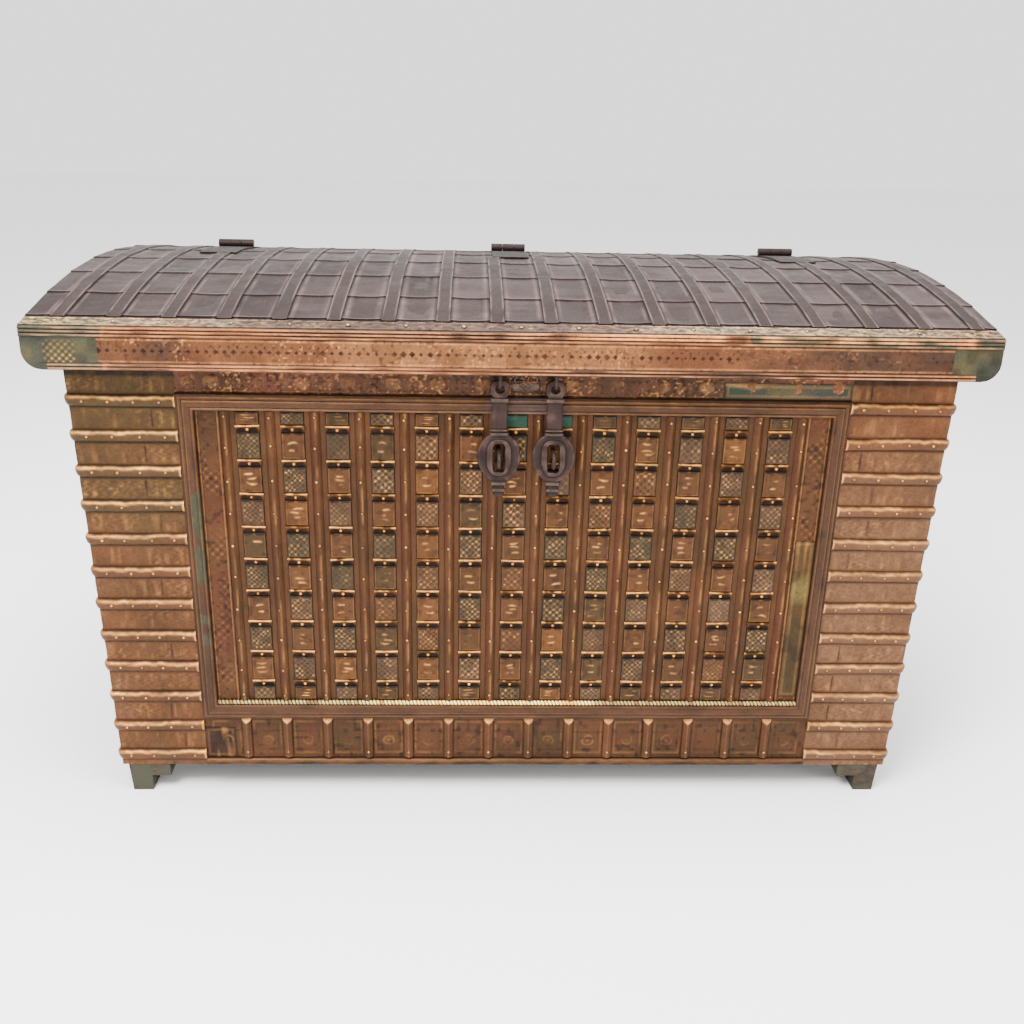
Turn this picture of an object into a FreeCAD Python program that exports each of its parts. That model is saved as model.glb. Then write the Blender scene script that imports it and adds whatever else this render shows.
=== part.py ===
import FreeCAD, Part
import math
import os
import re
import Sketcher

# Dowry chest of planks clad in embossed sheet metal, on four stepped feet.
# X runs to the right, Y to the back, Z up, millimetres.
# The origin lies on the floor under the middle of the lid.

V = FreeCAD.Vector
X_AXIS = V(1, 0, 0)
Y_AXIS = V(0, 1, 0)
Z_AXIS = V(0, 0, 1)

# Driving sizes in millimetres; a name that ends in count or share is a plain number.
sizes = {
    # whole chest
    "lid_length": 1500,
    "lid_depth": 800,
    "foot_height": 54,
    "body_height": 731,
    "rail_height": 68,
    "front_overhang": 45,
    "end_overhang": 47,
    "rear_overhang": 20,
    "front_setback": 25.5,
    "end_setback": 18,
    # timber
    "wall_thickness": 25,
    "floor_thickness": 20,
    "floor_board_count": 4,
    "plank_thickness": 18,
    "lid_plank_count": 6,
    "rear_plank_count": 2,
    "rail_corner_radius": 30,
    "cleat_width": 60,
    "cleat_thickness": 22,
    "cleat_place_share": 0.44,
    "cleat_end_gap": 12,
    "beam_depth": 45,
    "beam_height": 55,
    # dome of the lid
    "crown_rise": 49,
    "crown_share": 0.5375,
    "fixed_depth": 155,
    "parting_gap": 2,
    "lid_gap": 0.4,
    # feet
    "foot_width": 73,
    "foot_toe_width": 40,
    "foot_toe_height": 30,
    "foot_depth": 70,
    "foot_inset": 8,
    "foot_taper": 5,
    # sheet metal
    "sheet_thickness": 1.2,
    "corner_gap": 0.1,
    "skin_gap": 0.1,
    "frieze_height": 43,
    "frieze_patch_length": 206,
    "frieze_patch_height": 27,
    # moulded frame round the panel
    "stile_width": 149,
    "panel_foot": 127,
    "frame_width": 28,
    "frame_proud": 10,
    "frame_base": 4,
    "frame_reed_count": 3,
    "rope_radius": 4,
    # battens, ridges and plates of the panel
    "side_strip_width": 37.55,
    "batten_count": 14,
    "batten_share": 0.24,
    "batten_proud": 8,
    "ridge_count": 9,
    "ridge_first": 42,
    "ridge_last_gap": 29.4,
    "ridge_height": 12,
    "ridge_proud": 6.5,
    "plate_share": 0.535,
    "plate_proud": 2.2,
    "plate_bevel": 2,
    "plate_gap": 0.3,
    "side_strip_proud": 1,
    "side_patch_height": 300,
    "side_patch_width": 33,
    "side_patch_foot": 9,
    # lower band
    "base_moulding_height": 16,
    "base_moulding_proud": 9,
    "low_rib_gap": 2,
    "low_rib_proud": 7,
    "low_patch_width": 54,
    "low_patch_height": 62,
    # half-round bands on the corner posts
    "band_count": 12,
    "band_first": 22,
    "band_last_gap": 56.7,
    "band_height": 22,
    "band_proud": 8,
    # facing of the lid rail
    "moulding_height": 17,
    "moulding_proud": 4,
    "low_moulding_height": 11,
    "low_reed_count": 2,
    "low_moulding_inset": 38,
    "left_cap_width": 114,
    "right_cap_width": 76,
    "plain_sheet_width": 325,
    # skin of the lid
    "rib_count": 18,
    "rib_margin": 41.1,
    "rib_shift": 9,
    "rib_width": 25,
    "rib_proud": 3.5,
    # hinges
    "hinge_inset": 205,
    "hinge_width": 68,
    "strap_length": 180,
    "rear_strap_length": 120,
    "strap_thickness": 2.5,
    "knuckle_radius": 8,
    "knuckle_lift": 0.6,
    "knuckle_gap": 0.5,
    "middle_knuckle": 22,
    "pin_radius": 3,
    "pin_clearance": 0.05,
    "strap_gap": 1.5,
    # hasps, their rings and the staples they close over
    "left_hasp_share": 0.38,
    "right_hasp_share": 0.845,
    "hasp_oval_share": 0.985,
    "hasp_oval_tall_share": 1.17,
    "hasp_setback": 26,
    "hasp_thickness": 6,
    "hasp_head_radius": 15,
    "hasp_hole_radius": 6,
    "hasp_neck_width": 26,
    "hasp_collar_width": 30,
    "hasp_collar_height": 6,
    "hasp_collar_proud": 1.5,
    "hasp_neck_drop": 112,
    "hasp_slot_width": 18,
    "hasp_slot_height": 46,
    "hasp_tail_drop": 178,
    "hasp_tail_lap": 22,
    "hasp_tail_top_width": 34,
    "hasp_tail_width": 20,
    "hasp_knob_width": 24,
    "cut_overrun": 3,
    "ring_drop": 12.4,
    "ring_radius": 12,
    "ring_wire": 3,
    "ring_seat_gap": 0.3,
    "staple_radius": 11,
    "staple_wire": 3.5,
    "staple_drop": 139,
    "staple_eye_gap": 5,
    "staple_hole_gap": 0.4,
    # pierced plate between the hasps
    "lock_plate_width": 46,
    "lock_plate_height": 22,
    "lock_plate_drop": 26,
    "lock_plate_shift": 2.5,
    "lock_loop_radius": 9,
    "lock_loop_hole": 5.5,
    "lock_loop_spacing": 21,
    "rosette_radius": 7,
    "rosette_top_radius": 3.5,
    "rosette_proud": 2,
}

# Seams between the courses of lid sheet, as shares of the way from the front edge to the hinges
seam_shares = (0, 0.045, 0.17, 0.325, 0.485, 0.64, 0.815, 1)

# Sections of a half-round ridge and of a flat-topped rib, as shares of half width and of height
ridge_shares = ((-1, 0), (-0.65, 0.75), (0, 1), (0.65, 0.75), (1, 0))
rib_shares = ((-1, 0), (-0.7, 1), (0.7, 1), (1, 0))

# One reed of the panel frame, as shares of its width and of its height over the base
reed_shares = ((0.15, 0.75), (0.5, 1), (0.85, 0.75), (1, 0))

# Places worked out from the sizes
places = {
    "lid_front": "-lid_depth / 2",
    "lid_back": "lid_depth / 2",
    "rail_face": "lid_front + moulding_proud",
    "rim": "foot_height + body_height",
    "lid_top": "rim + rail_height",
    "body_front_top": "lid_front + front_overhang",
    "body_front_foot": "body_front_top + front_setback",
    "body_back": "lid_back - rear_overhang",
    "body_half_top": "lid_length / 2 - end_overhang",
    "body_half_foot": "body_half_top - end_setback",
    "lid_half_timber": "lid_length / 2 - sheet_thickness",
    "crown_run": "crown_share * lid_depth",
    "crown_radius": "(crown_run * crown_run + crown_rise * crown_rise) / (2 * crown_rise)",
    "crown_y": "lid_front + crown_run",
    "crown_z": "lid_top + crown_rise - crown_radius",
    "skin_radius": "crown_radius - sheet_thickness",
    "timber_radius": "skin_radius - skin_gap",
    "under_radius": "timber_radius - plank_thickness",
    "parting": "lid_back - fixed_depth",
    "lid_rear": "parting - parting_gap / 2",
    "fixed_front": "parting + parting_gap / 2",
    "front_slope": "sqrt(body_height * body_height + front_setback * front_setback)",
    "stile_inner": "body_half_foot - stile_width",
    "panel_half_width": "stile_inner - frame_width",
    "batten_half_run": "panel_half_width - side_strip_width",
    "batten_pitch": "2 * batten_half_run / (batten_count - 1 + batten_share)",
    "plate_half": "plate_share * batten_pitch / 2",
    "panel_top": "front_slope - frieze_height - frame_width",
    "frame_foot": "panel_foot - frame_width",
    "ridge_run": "panel_top - panel_foot - ridge_first - ridge_last_gap",
    "ridge_pitch": "ridge_run / (ridge_count - 1)",
    "band_pitch": "(body_height - band_first - band_last_gap) / (band_count - 1)",
    "rib_pitch": "(lid_length - 2 * rib_margin) / (rib_count - 1)",
    "left_hasp_x": "-left_hasp_share * batten_pitch",
    "right_hasp_x": "right_hasp_share * batten_pitch",
    "hasp_oval_width": "hasp_oval_share * batten_pitch",
    "hasp_oval_height": "hasp_oval_tall_share * hasp_oval_width",
    "hasp_y": "lid_front + hasp_setback",
    "ring_z": "rim + lid_gap - ring_drop",
    "ring_inner": "ring_radius - ring_wire",
    "seat_z": "ring_z - sqrt(ring_inner * ring_inner - hasp_thickness * hasp_thickness / 4)",
    "hole_z": "seat_z + ring_seat_gap - hasp_hole_radius",
}

doc = FreeCAD.newDocument("DowryChest")
sheet = doc.addObject("Spreadsheet::Sheet", "Sizes")
working = doc.addObject("Spreadsheet::Sheet", "Working")
for row, (name, value) in enumerate(sizes.items(), 1):
    sheet.set(f"A{row}", name)
    sheet.set(f"B{row}", str(value))
    sheet.setAlias(f"B{row}", name)
sheet.recompute()

word = re.compile(r"[a-z]+(?:_[a-z]+)*")
pieces = []


def bound(formula):
    """The formula with every place worked out and every size read from the sheet."""

    def swap(found):
        name = found.group(0)
        if name in places:
            return f"({bound(places[name])})"
        return f"Sizes.{name}" if name in sizes else name

    return word.sub(swap, formula)


def amount(formula):
    """The number that a formula gives."""
    working.set("A1", "=" + bound(formula))
    working.recompute()
    return float(working.get("A1"))


def bind(item, **formulas):
    """Ties properties of an object to the sheet; a double underscore stands for a dot."""
    for name, formula in formulas.items():
        item.setExpression(name.replace("__", "."), bound(formula))


def keep(item, label):
    """Counts an object as a sub-part under its own label."""
    item.Label = label
    pieces.append(item)
    return item


# Forms whose sizes are tied to the sheet

def box(label, low, high):
    item = doc.addObject("Part::Box", label)
    bind(
        item,
        Length=f"({high[0]}) - ({low[0]})",
        Width=f"({high[1]}) - ({low[1]})",
        Height=f"({high[2]}) - ({low[2]})",
        Placement__Base__x=low[0],
        Placement__Base__y=low[1],
        Placement__Base__z=low[2],
    )
    return item


def tapered_block(label, foot, top, low, high):
    """A block from a foot rectangle to a top one, each given as left, right, front, back."""
    item = doc.addObject("Part::Wedge", label)
    item.Placement = FreeCAD.Placement(V(), FreeCAD.Rotation(X_AXIS, 90))
    bind(
        item,
        Xmin=foot[0],
        Xmax=foot[1],
        Zmin=f"-({foot[3]})",
        Zmax=f"-({foot[2]})",
        X2min=top[0],
        X2max=top[1],
        Z2min=f"-({top[3]})",
        Z2max=f"-({top[2]})",
        Ymin=low,
        Ymax=high,
    )
    return item


def rod(label, radius, length, start, turn=FreeCAD.Rotation()):
    item = doc.addObject("Part::Cylinder", label)
    item.Placement = FreeCAD.Placement(V(), turn)
    bind(
        item,
        Radius=radius,
        Height=length,
        Placement__Base__x=start[0],
        Placement__Base__y=start[1],
        Placement__Base__z=start[2],
    )
    return item


def crown_cylinder(label, radius):
    """A cylinder along X that the dome of the lid lies on."""
    along_x = FreeCAD.Rotation(Y_AXIS, 90)
    return rod(label, radius, "lid_length", ("-lid_length / 2", "crown_y", "crown_z"), along_x)


def boolean(kind, label, base, tool):
    item = doc.addObject(f"Part::{kind}", label)
    item.Base = base
    item.Tool = tool
    return item


def fused(label, shapes):
    item = doc.addObject("Part::MultiFuse", label)
    item.Shapes = shapes
    return item


def group(label, items):
    """One sub-part made of several like solids that stay apart."""
    item = doc.addObject("Part::Compound", label)
    item.Links = items
    return keep(item, label)


def outline_sketch(body, role, name, outline, start):
    """A closed sketch whose corners are tied to the sheet."""
    plane = [item for item in body.Origin.OriginFeatures if item.Role == role][0]
    sketch = body.newObject("Sketcher::SketchObject", name)
    sketch.AttachmentSupport = [(plane, "")]
    sketch.MapMode = "FlatFace"
    bind(sketch, AttachmentOffset__Base__z=start)
    corners = [V(amount(across), amount(up), 0) for across, up in outline]
    count = len(corners)
    for number in range(count):
        sketch.addGeometry(Part.LineSegment(corners[number], corners[(number + 1) % count]), False)
    for number in range(count):
        sketch.addConstraint(Sketcher.Constraint("Coincident", number, 2, (number + 1) % count, 1))
    for number, (across, up) in enumerate(outline):
        corner = corners[number]
        for kind, value, formula in (("DistanceX", corner.x, across), ("DistanceY", corner.y, up)):
            at = sketch.addConstraint(Sketcher.Constraint(kind, -1, 1, number, 1, value))
            sketch.setExpression(f"Constraints[{at}]", bound(formula))
    return sketch


def prism(label, role, outline, length, start="0"):
    """A body padded from an outline on one of its own origin planes."""
    body = doc.addObject("PartDesign::Body", label)
    pad = body.newObject("PartDesign::Pad", f"{label}_pad")
    pad.Profile = outline_sketch(body, role, f"{label}_outline", outline, start)
    bind(pad, Length=length)
    return body


def round_corners(body, radius, chosen):
    """Rounds the edges of a body whose middle passes the test."""
    doc.recompute()
    edges = [
        f"Edge{number}"
        for number, edge in enumerate(body.Shape.Edges, 1)
        if chosen(edge.BoundBox)
    ]
    base = body.Tip
    fillet = body.newObject("PartDesign::Fillet", f"{body.Name}_rounding")
    fillet.Base = (base, edges)
    bind(fillet, Radius=radius)
    body.Tip = fillet


def feature(label, shapes, placement=None):
    """A sub-part of one or more separate solids worked out in code."""
    item = doc.addObject("Part::Feature", label)
    whole = shapes[0] if len(shapes) == 1 else Part.makeCompound(shapes)
    item.Shape = whole
    if placement is not None:
        item.Placement = placement.multiply(whole.Placement)
    return keep(item, label)


# Frame of the leaning front: across to the right, up the slope, and out of the face

lean = math.atan2(amount("front_setback"), amount("body_height"))
front_turn = FreeCAD.Rotation(
    X_AXIS,
    V(0, -math.sin(lean), math.cos(lean)),
    V(0, -math.cos(lean), -math.sin(lean)),
    "XYZ",
)
front_place = FreeCAD.Placement(V(0, amount("body_front_foot"), amount("foot_height")), front_turn)


def on_front(body):
    """Stands a body made flat on its XY plane on the leaning front."""
    body.Placement = front_place
    bind(body, Placement__Base__y="body_front_foot", Placement__Base__z="foot_height")
    return body


def front_strip(label, left, right, low, high, start="0", thickness="sheet_thickness"):
    """A flat strip on the front between four edges."""
    outline = ((left, low), (right, low), (right, high), (left, high))
    return on_front(prism(label, "XY_Plane", outline, thickness, start))


def front_sheet(label, *edges, **layers):
    """A flat strip on the front that is a sub-part by itself."""
    return keep(front_strip(label, *edges, **layers), label)


# Forms worked out in code

def polygon_face(points):
    return Part.Face(Part.makePolygon(points + points[:1]))


def ring_of_points(centre, radius, count, first, second):
    """Corners of a regular polygon about a centre, in the plane of two directions."""
    turns = [2 * math.pi * (number + 1 / 2) / count for number in range(count)]
    spokes = [first * math.cos(turn) + second * math.sin(turn) for turn in turns]
    return [centre + spoke * radius for spoke in spokes]


def ridge_section(half, height, shares=ridge_shares):
    """Corners of a ridge as pairs of across and out."""
    return [(across * half, out * height) for across, out in shares]


def crown_point(radius, depth):
    """The point on a circle about the dome's axis at a depth, in the middle of the chest."""
    across = depth - amount("crown_y")
    return V(0, depth, amount("crown_z") + math.sqrt(radius * radius - across * across))


def crown_slab(inner, outer, front, back, left, right):
    """A curved board between two radii of the dome and two depths."""
    middle = (front + back) / 2
    corners = [crown_point(outer, front), crown_point(outer, back)]
    corners += [crown_point(inner, back), crown_point(inner, front)]
    edges = [
        Part.Arc(corners[0], crown_point(outer, middle), corners[1]).toShape(),
        Part.makeLine(corners[1], corners[2]),
        Part.Arc(corners[2], crown_point(inner, middle), corners[3]).toShape(),
        Part.makeLine(corners[3], corners[0]),
    ]
    slab = Part.Face(Part.Wire(edges)).extrude(V(right - left, 0, 0))
    slab.translate(V(left, 0, 0))
    return slab


def crown_rib(across, half, height, front, back):
    """A ridge that follows the dome from one depth to another."""
    radius = amount("crown_radius")
    axis = V(0, amount("crown_y"), amount("crown_z"))
    section = ridge_section(half, height, rib_shares)
    face = polygon_face([axis + V(across + side, 0, radius + out) for side, out in section])
    turn_front = math.degrees(math.asin((axis.y - front) / (radius + height)))
    turn_back = math.degrees(math.asin((axis.y - back) / (radius + height)))
    face.rotate(axis, X_AXIS, turn_front)
    return face.revolve(axis, X_AXIS, turn_back - turn_front)


def boards(count, low, high):
    """Edges of equal boards between two places."""
    width = (high - low) / count
    return [(low + number * width, low + (number + 1) * width) for number in range(count)]


# Walls: planks that lean in towards the foot at the front and both ends

wall_front_top = "body_front_top + wall_thickness"
wall_front_foot = "body_front_foot + wall_thickness"
wall_back = "body_back - wall_thickness"

keep(
    tapered_block(
        "front_wall",
        ("-(body_half_foot)", "body_half_foot", "body_front_foot", wall_front_foot),
        ("-(body_half_top)", "body_half_top", "body_front_top", wall_front_top),
        "foot_height",
        "rim",
    ),
    "front_wall",
)
keep(
    tapered_block(
        "back_wall",
        ("-(body_half_foot)", "body_half_foot", wall_back, "body_back"),
        ("-(body_half_top)", "body_half_top", wall_back, "body_back"),
        "foot_height",
        "rim",
    ),
    "back_wall",
)
keep(
    tapered_block(
        "left_end_wall",
        ("-(body_half_foot)", "wall_thickness - body_half_foot", wall_front_foot, wall_back),
        ("-(body_half_top)", "wall_thickness - body_half_top", wall_front_top, wall_back),
        "foot_height",
        "rim",
    ),
    "left_end_wall",
)
keep(
    tapered_block(
        "right_end_wall",
        ("body_half_foot - wall_thickness", "body_half_foot", wall_front_foot, wall_back),
        ("body_half_top - wall_thickness", "body_half_top", wall_front_top, wall_back),
        "foot_height",
        "rim",
    ),
    "right_end_wall",
)

# Floor boards laid along the chest between the walls

floor_half = amount("body_half_foot - wall_thickness")
floor_low = amount("foot_height")
floor_boards = [
    Part.makeBox(2 * floor_half, back - front, amount("floor_thickness"), V(-floor_half, front, floor_low))
    for front, back in boards(int(sizes["floor_board_count"]), amount(wall_front_foot), amount(wall_back))
]
feature("floor_boards", floor_boards)


# Feet: stepped brackets, the tall toe at the outer end

def foot(label, side, front):
    """A stepped bracket under one corner; side is -1 on the left and 1 on the right."""
    outer = "body_half_foot - foot_inset"
    steps = (
        (f"{outer} - foot_taper", "0"),
        (outer, "foot_height"),
        (f"{outer} - foot_width", "foot_height"),
        (f"{outer} - foot_width", "foot_toe_height"),
        (f"{outer} - foot_toe_width", "foot_toe_height"),
        (f"{outer} - foot_toe_width", "0"),
    )
    outline = [(across if side > 0 else f"-({across})", up) for across, up in steps]
    keep(prism(label, "XZ_Plane", outline, "foot_depth", f"-({front} + foot_depth)"), label)


foot("front_left_foot", -1, "body_front_foot")
foot("front_right_foot", 1, "body_front_foot")
foot("rear_left_foot", -1, "body_back - foot_depth")
foot("rear_right_foot", 1, "body_back - foot_depth")


# Corner posts: embossed sheet on the front and the ends, crossed by half-round bands

post_edge_foot = "body_half_foot - corner_gap"
post_edge_top = "body_half_top - corner_gap"
post_sheets = []
for side in (-1, 1):
    corners = (
        ("stile_inner", "0"),
        (post_edge_foot, "0"),
        (post_edge_top, "front_slope"),
        ("stile_inner", "front_slope"),
    )
    outline = [(across if side > 0 else f"-({across})", up) for across, up in corners]
    post_sheets.append(on_front(prism("post_sheet", "XY_Plane", outline, "sheet_thickness")))
group("post_sheets", post_sheets)

end_front_foot = "body_front_foot - sheet_thickness"
end_front_top = "body_front_top - sheet_thickness"
left_end_sheet = tapered_block(
    "left_end_sheet",
    ("-(body_half_foot) - sheet_thickness", "-(body_half_foot)", end_front_foot, "body_back"),
    ("-(body_half_top) - sheet_thickness", "-(body_half_top)", end_front_top, "body_back"),
    "foot_height",
    "rim",
)
right_end_sheet = tapered_block(
    "right_end_sheet",
    ("body_half_foot", "body_half_foot + sheet_thickness", end_front_foot, "body_back"),
    ("body_half_top", "body_half_top + sheet_thickness", end_front_top, "body_back"),
    "foot_height",
    "rim",
)
group("end_sheets", [left_end_sheet, right_end_sheet])


def clad_block():
    """The body with its sheets on, which the bands are cut back to."""
    thickness = amount("sheet_thickness")
    foot_half = amount("body_half_foot") + thickness
    top_half = amount("body_half_top") + thickness
    foot_front = amount("body_front_foot") - thickness / math.cos(lean)
    top_front = amount("body_front_top") - thickness / math.cos(lean)
    back = amount("body_back")
    low = amount("foot_height")
    high = amount("rim")
    block = Part.makeWedge(
        -foot_half, low, -back, -back, -top_half, foot_half, high, -foot_front, -top_front, top_half
    )
    block.rotate(V(), X_AXIS, 90)
    return block


def swept(section, route):
    """A closed section carried along straight runs that meet in mitres."""
    shell = Part.BRepOffsetAPI.MakePipeShell(Part.makePolygon(route))
    shell.setTransitionMode(1)
    shell.add(Part.makePolygon(section + section[:1]))
    shell.build()
    shell.makeSolid()
    return shell.shape()


def wrapped_band(side, rise):
    """A rounded band from the panel frame round the corner to the back edge."""
    share = rise / amount("body_height")
    thickness = amount("sheet_thickness")
    half = amount("body_half_foot") + share * amount("end_setback") + thickness
    front = amount("body_front_foot") - share * amount("front_setback") - thickness
    height = amount("foot_height") + rise
    corner = V(side * half, front, height)
    start = V(side * (amount("stile_inner") + amount("corner_gap")), front, height)
    end = V(side * half, amount("body_back"), height)
    tall = amount("band_height") / 2
    seat = V(0, tall * math.tan(lean) * 2, 0)
    section = [start - V(0, out, -up) for up, out in ridge_section(tall, amount("band_proud"))]
    section[0] = section[0] + seat
    section[-1] = section[-1] + seat
    return swept(section, [start, corner, end])


core = clad_block()
band_numbers = range(int(sizes["band_count"]))
band_rises = [amount("band_first") + number * amount("band_pitch") for number in band_numbers]
bands = [wrapped_band(side, rise).cut(core).Solids[0] for side in (-1, 1) for rise in band_rises]
feature("post_bands", bands)


# Frieze under the lid and the strip nailed over its right half

front_sheet("frieze_sheet", "-(stile_inner)", "stile_inner", "front_slope - frieze_height", "front_slope")
front_sheet(
    "frieze_patch",
    "stile_inner - frieze_patch_length",
    "stile_inner",
    "front_slope - frieze_height",
    "front_slope - frieze_height + frieze_patch_height",
    start="sheet_thickness",
)


# Moulded frame: four reeded members, mitred at the corners

def reeds():
    """Section of a frame member as pairs of across and out."""
    width = amount("frame_width")
    count = int(sizes["frame_reed_count"])
    base = amount("frame_base")
    proud = amount("frame_proud")
    step = width / count
    section = [(0, 0), (0, base)]
    for reed in range(count):
        section += [((reed + across) * step, base + lift * (proud - base)) for across, lift in reed_shares]
    return section + [(width, 0)]


def frame_member(length, turn, corner):
    """A member whose outer edge runs from a corner of the frame, its ends mitred inwards."""
    width = amount("frame_width")
    moulding = polygon_face([V(0, across, out) for across, out in reeds()]).extrude(V(length, 0, 0))
    mitred = polygon_face([V(0, 0, 0), V(length, 0, 0), V(length - width, width, 0), V(width, width, 0)])
    member = moulding.common(mitred.extrude(V(0, 0, amount("frame_proud"))))
    member.rotate(V(), Z_AXIS, turn)
    member.translate(corner)
    return member.removeSplitter().Solids[0]


frame_half = amount("stile_inner")
frame_low = amount("frame_foot")
frame_high = amount("front_slope - frieze_height")
frame_rise = frame_high - frame_low
frame_members = (
    ("frame_bottom", 2 * frame_half, 0, V(-frame_half, frame_low, 0)),
    ("frame_right", frame_rise, 90, V(frame_half, frame_low, 0)),
    ("frame_top", 2 * frame_half, 180, V(frame_half, frame_high, 0)),
    ("frame_left", frame_rise, 270, V(-frame_half, frame_high, 0)),
)
for label, length, turn, corner in frame_members:
    feature(label, [frame_member(length, turn, corner)], front_place)

panel_half = amount("panel_half_width")
rope_start = V(-panel_half, amount("panel_foot + rope_radius"), amount("sheet_thickness + rope_radius"))
rope = Part.makeCylinder(amount("rope_radius"), 2 * panel_half, rope_start, X_AXIS)
feature("rope_moulding", [rope], front_place)


# Panel: backing sheet, side strips, battens, ridges and plates

front_sheet("panel_sheet", "-panel_half_width", "panel_half_width", "panel_foot", "panel_top")
strip_foot = "panel_foot + 2 * rope_radius"
side_strips = [
    front_strip(
        "side_strip",
        left,
        right,
        strip_foot,
        "panel_top",
        start="sheet_thickness",
        thickness="side_strip_proud",
    )
    for left, right in (("-panel_half_width", "-batten_half_run"), ("batten_half_run", "panel_half_width"))
]
group("side_strips", side_strips)
front_sheet(
    "side_patch",
    "panel_half_width - side_patch_width",
    "panel_half_width",
    f"{strip_foot} + side_patch_foot",
    f"{strip_foot} + side_patch_foot + side_patch_height",
    start="sheet_thickness + side_strip_proud",
)

panel_low = amount(strip_foot)
panel_high = amount("panel_top")
skin = amount("sheet_thickness")
pitch = amount("batten_pitch")
batten_count = int(sizes["batten_count"])
batten_places = [(number - (batten_count - 1) / 2) * pitch for number in range(batten_count)]


def bar(section, low, high, across):
    """A ridge that stands up the front, its back on the panel sheet."""
    face = polygon_face([V(across + side, low, skin + out) for side, out in section])
    return face.extrude(V(0, high - low, 0))


staple_up = amount("body_height - staple_drop") / math.cos(lean)


def punched(shapes):
    """The solids with square holes where the legs of the staples pass through to the sheet."""
    half = amount("staple_wire + staple_hole_gap")
    deep = amount("batten_proud")
    reach = amount("staple_radius")
    corners = [
        V(amount(at) - half, staple_up + leg - half, skin)
        for at in ("left_hasp_x", "right_hasp_x")
        for leg in (-reach, reach)
    ]
    holes = [Part.makeBox(2 * half, 2 * half, deep, corner) for corner in corners]
    return [solid for shape in shapes for solid in shape.cut(holes).Solids]


batten_section = ridge_section(amount("batten_share") * pitch / 2, amount("batten_proud"))
battens = [bar(batten_section, panel_low, panel_high, across) for across in batten_places]
feature("panel_battens", punched(battens), front_place)

plate_half = amount("plate_half")
ridge_rows = [
    amount("panel_foot + ridge_first") + number * amount("ridge_pitch")
    for number in range(int(sizes["ridge_count"]))
]
column_places = [place + pitch / 2 for place in batten_places[:-1]]


def ridge(across, up):
    """A short half-round bar as wide as the plates under it."""
    section = ridge_section(amount("ridge_height") / 2, amount("ridge_proud"))
    face = polygon_face([V(across - plate_half, up + side, skin + out) for side, out in section])
    return face.extrude(V(2 * plate_half, 0, 0))


ridges = [ridge(across, up) for up in ridge_rows for across in column_places]
feature("panel_ridges", punched(ridges), front_place)


def plate(across, low, high):
    """A small oblong of sheet with bevelled edges, in the middle of its column."""
    bevel = amount("plate_bevel")
    loops = []
    for inset, out in ((0, skin), (bevel, skin + amount("plate_proud"))):
        left = across - plate_half + inset
        right = across + plate_half - inset
        corners = [V(left, low + inset, out), V(right, low + inset, out)]
        corners += [V(right, high - inset, out), V(left, high - inset, out)]
        loops.append(Part.makePolygon(corners + corners[:1]))
    return Part.makeLoft(loops, True, True)


row_gap = amount("ridge_height / 2 + plate_gap")
row_lows = [panel_low + amount("plate_gap")] + [up + row_gap for up in ridge_rows]
row_highs = [up - row_gap for up in ridge_rows] + [panel_high - amount("plate_gap")]
for parity, label in ((0, "lattice_plates"), (1, "figured_plates")):
    plates = [
        plate(across, low, high)
        for row, (low, high) in enumerate(zip(row_lows, row_highs))
        for column, across in enumerate(column_places)
        if (row + column) % 2 == parity
    ]
    feature(label, punched(plates), front_place)


# Lower band: sheet, upright ribs under the battens, a patch and the base moulding

front_sheet("lower_band_sheet", "-(stile_inner)", "stile_inner", "base_moulding_height", "frame_foot")
front_sheet(
    "lower_band_patch",
    "-(stile_inner)",
    "low_patch_width - (stile_inner)",
    "base_moulding_height",
    "base_moulding_height + low_patch_height",
    start="sheet_thickness",
)
low_section = ridge_section(amount("batten_share") * pitch / 2, amount("low_rib_proud"))
low_rib_low = amount("base_moulding_height + low_rib_gap")
low_rib_high = amount("frame_foot - low_rib_gap")
low_ribs = [bar(low_section, low_rib_low, low_rib_high, across) for across in batten_places]
feature("lower_band_ribs", low_ribs, front_place)

base_half = amount("base_moulding_height") / 2
base_section = ridge_section(base_half, amount("base_moulding_proud"))
base_face = polygon_face([V(-frame_half, base_half + side, out) for side, out in base_section])
feature("base_moulding", [base_face.extrude(V(2 * frame_half, 0, 0))], front_place)


# Rails of the lid and of the fixed rear part, rounded at their lower outer corners

under_crown = crown_cylinder("under_crown", "under_radius")
timber_crown = crown_cylinder("timber_crown", "timber_radius")
rail_inner = "body_half_top - wall_thickness"
rail_blank_top = "lid_top + crown_rise"


def lower_corner(level, ends):
    """A test for edges at the foot of a rail and at one of its ends."""
    close = amount("corner_gap")

    def chosen(edge):
        return edge.ZMax - level < close and any(abs(edge.Center.x - end) < close for end in ends)

    return chosen


def rail(label, left, right, front, back, low, rounded):
    """A beam cut back to the dome, its lower corners at the given ends rounded."""
    outline = ((left, low), (right, low), (right, rail_blank_top), (left, rail_blank_top))
    blank = prism(f"{label}_blank", "XZ_Plane", outline, f"({back}) - ({front})", f"-({back})")
    round_corners(blank, "rail_corner_radius", lower_corner(amount(low), [amount(end) for end in rounded]))
    return boolean("Common", label, blank, under_crown)


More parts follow.
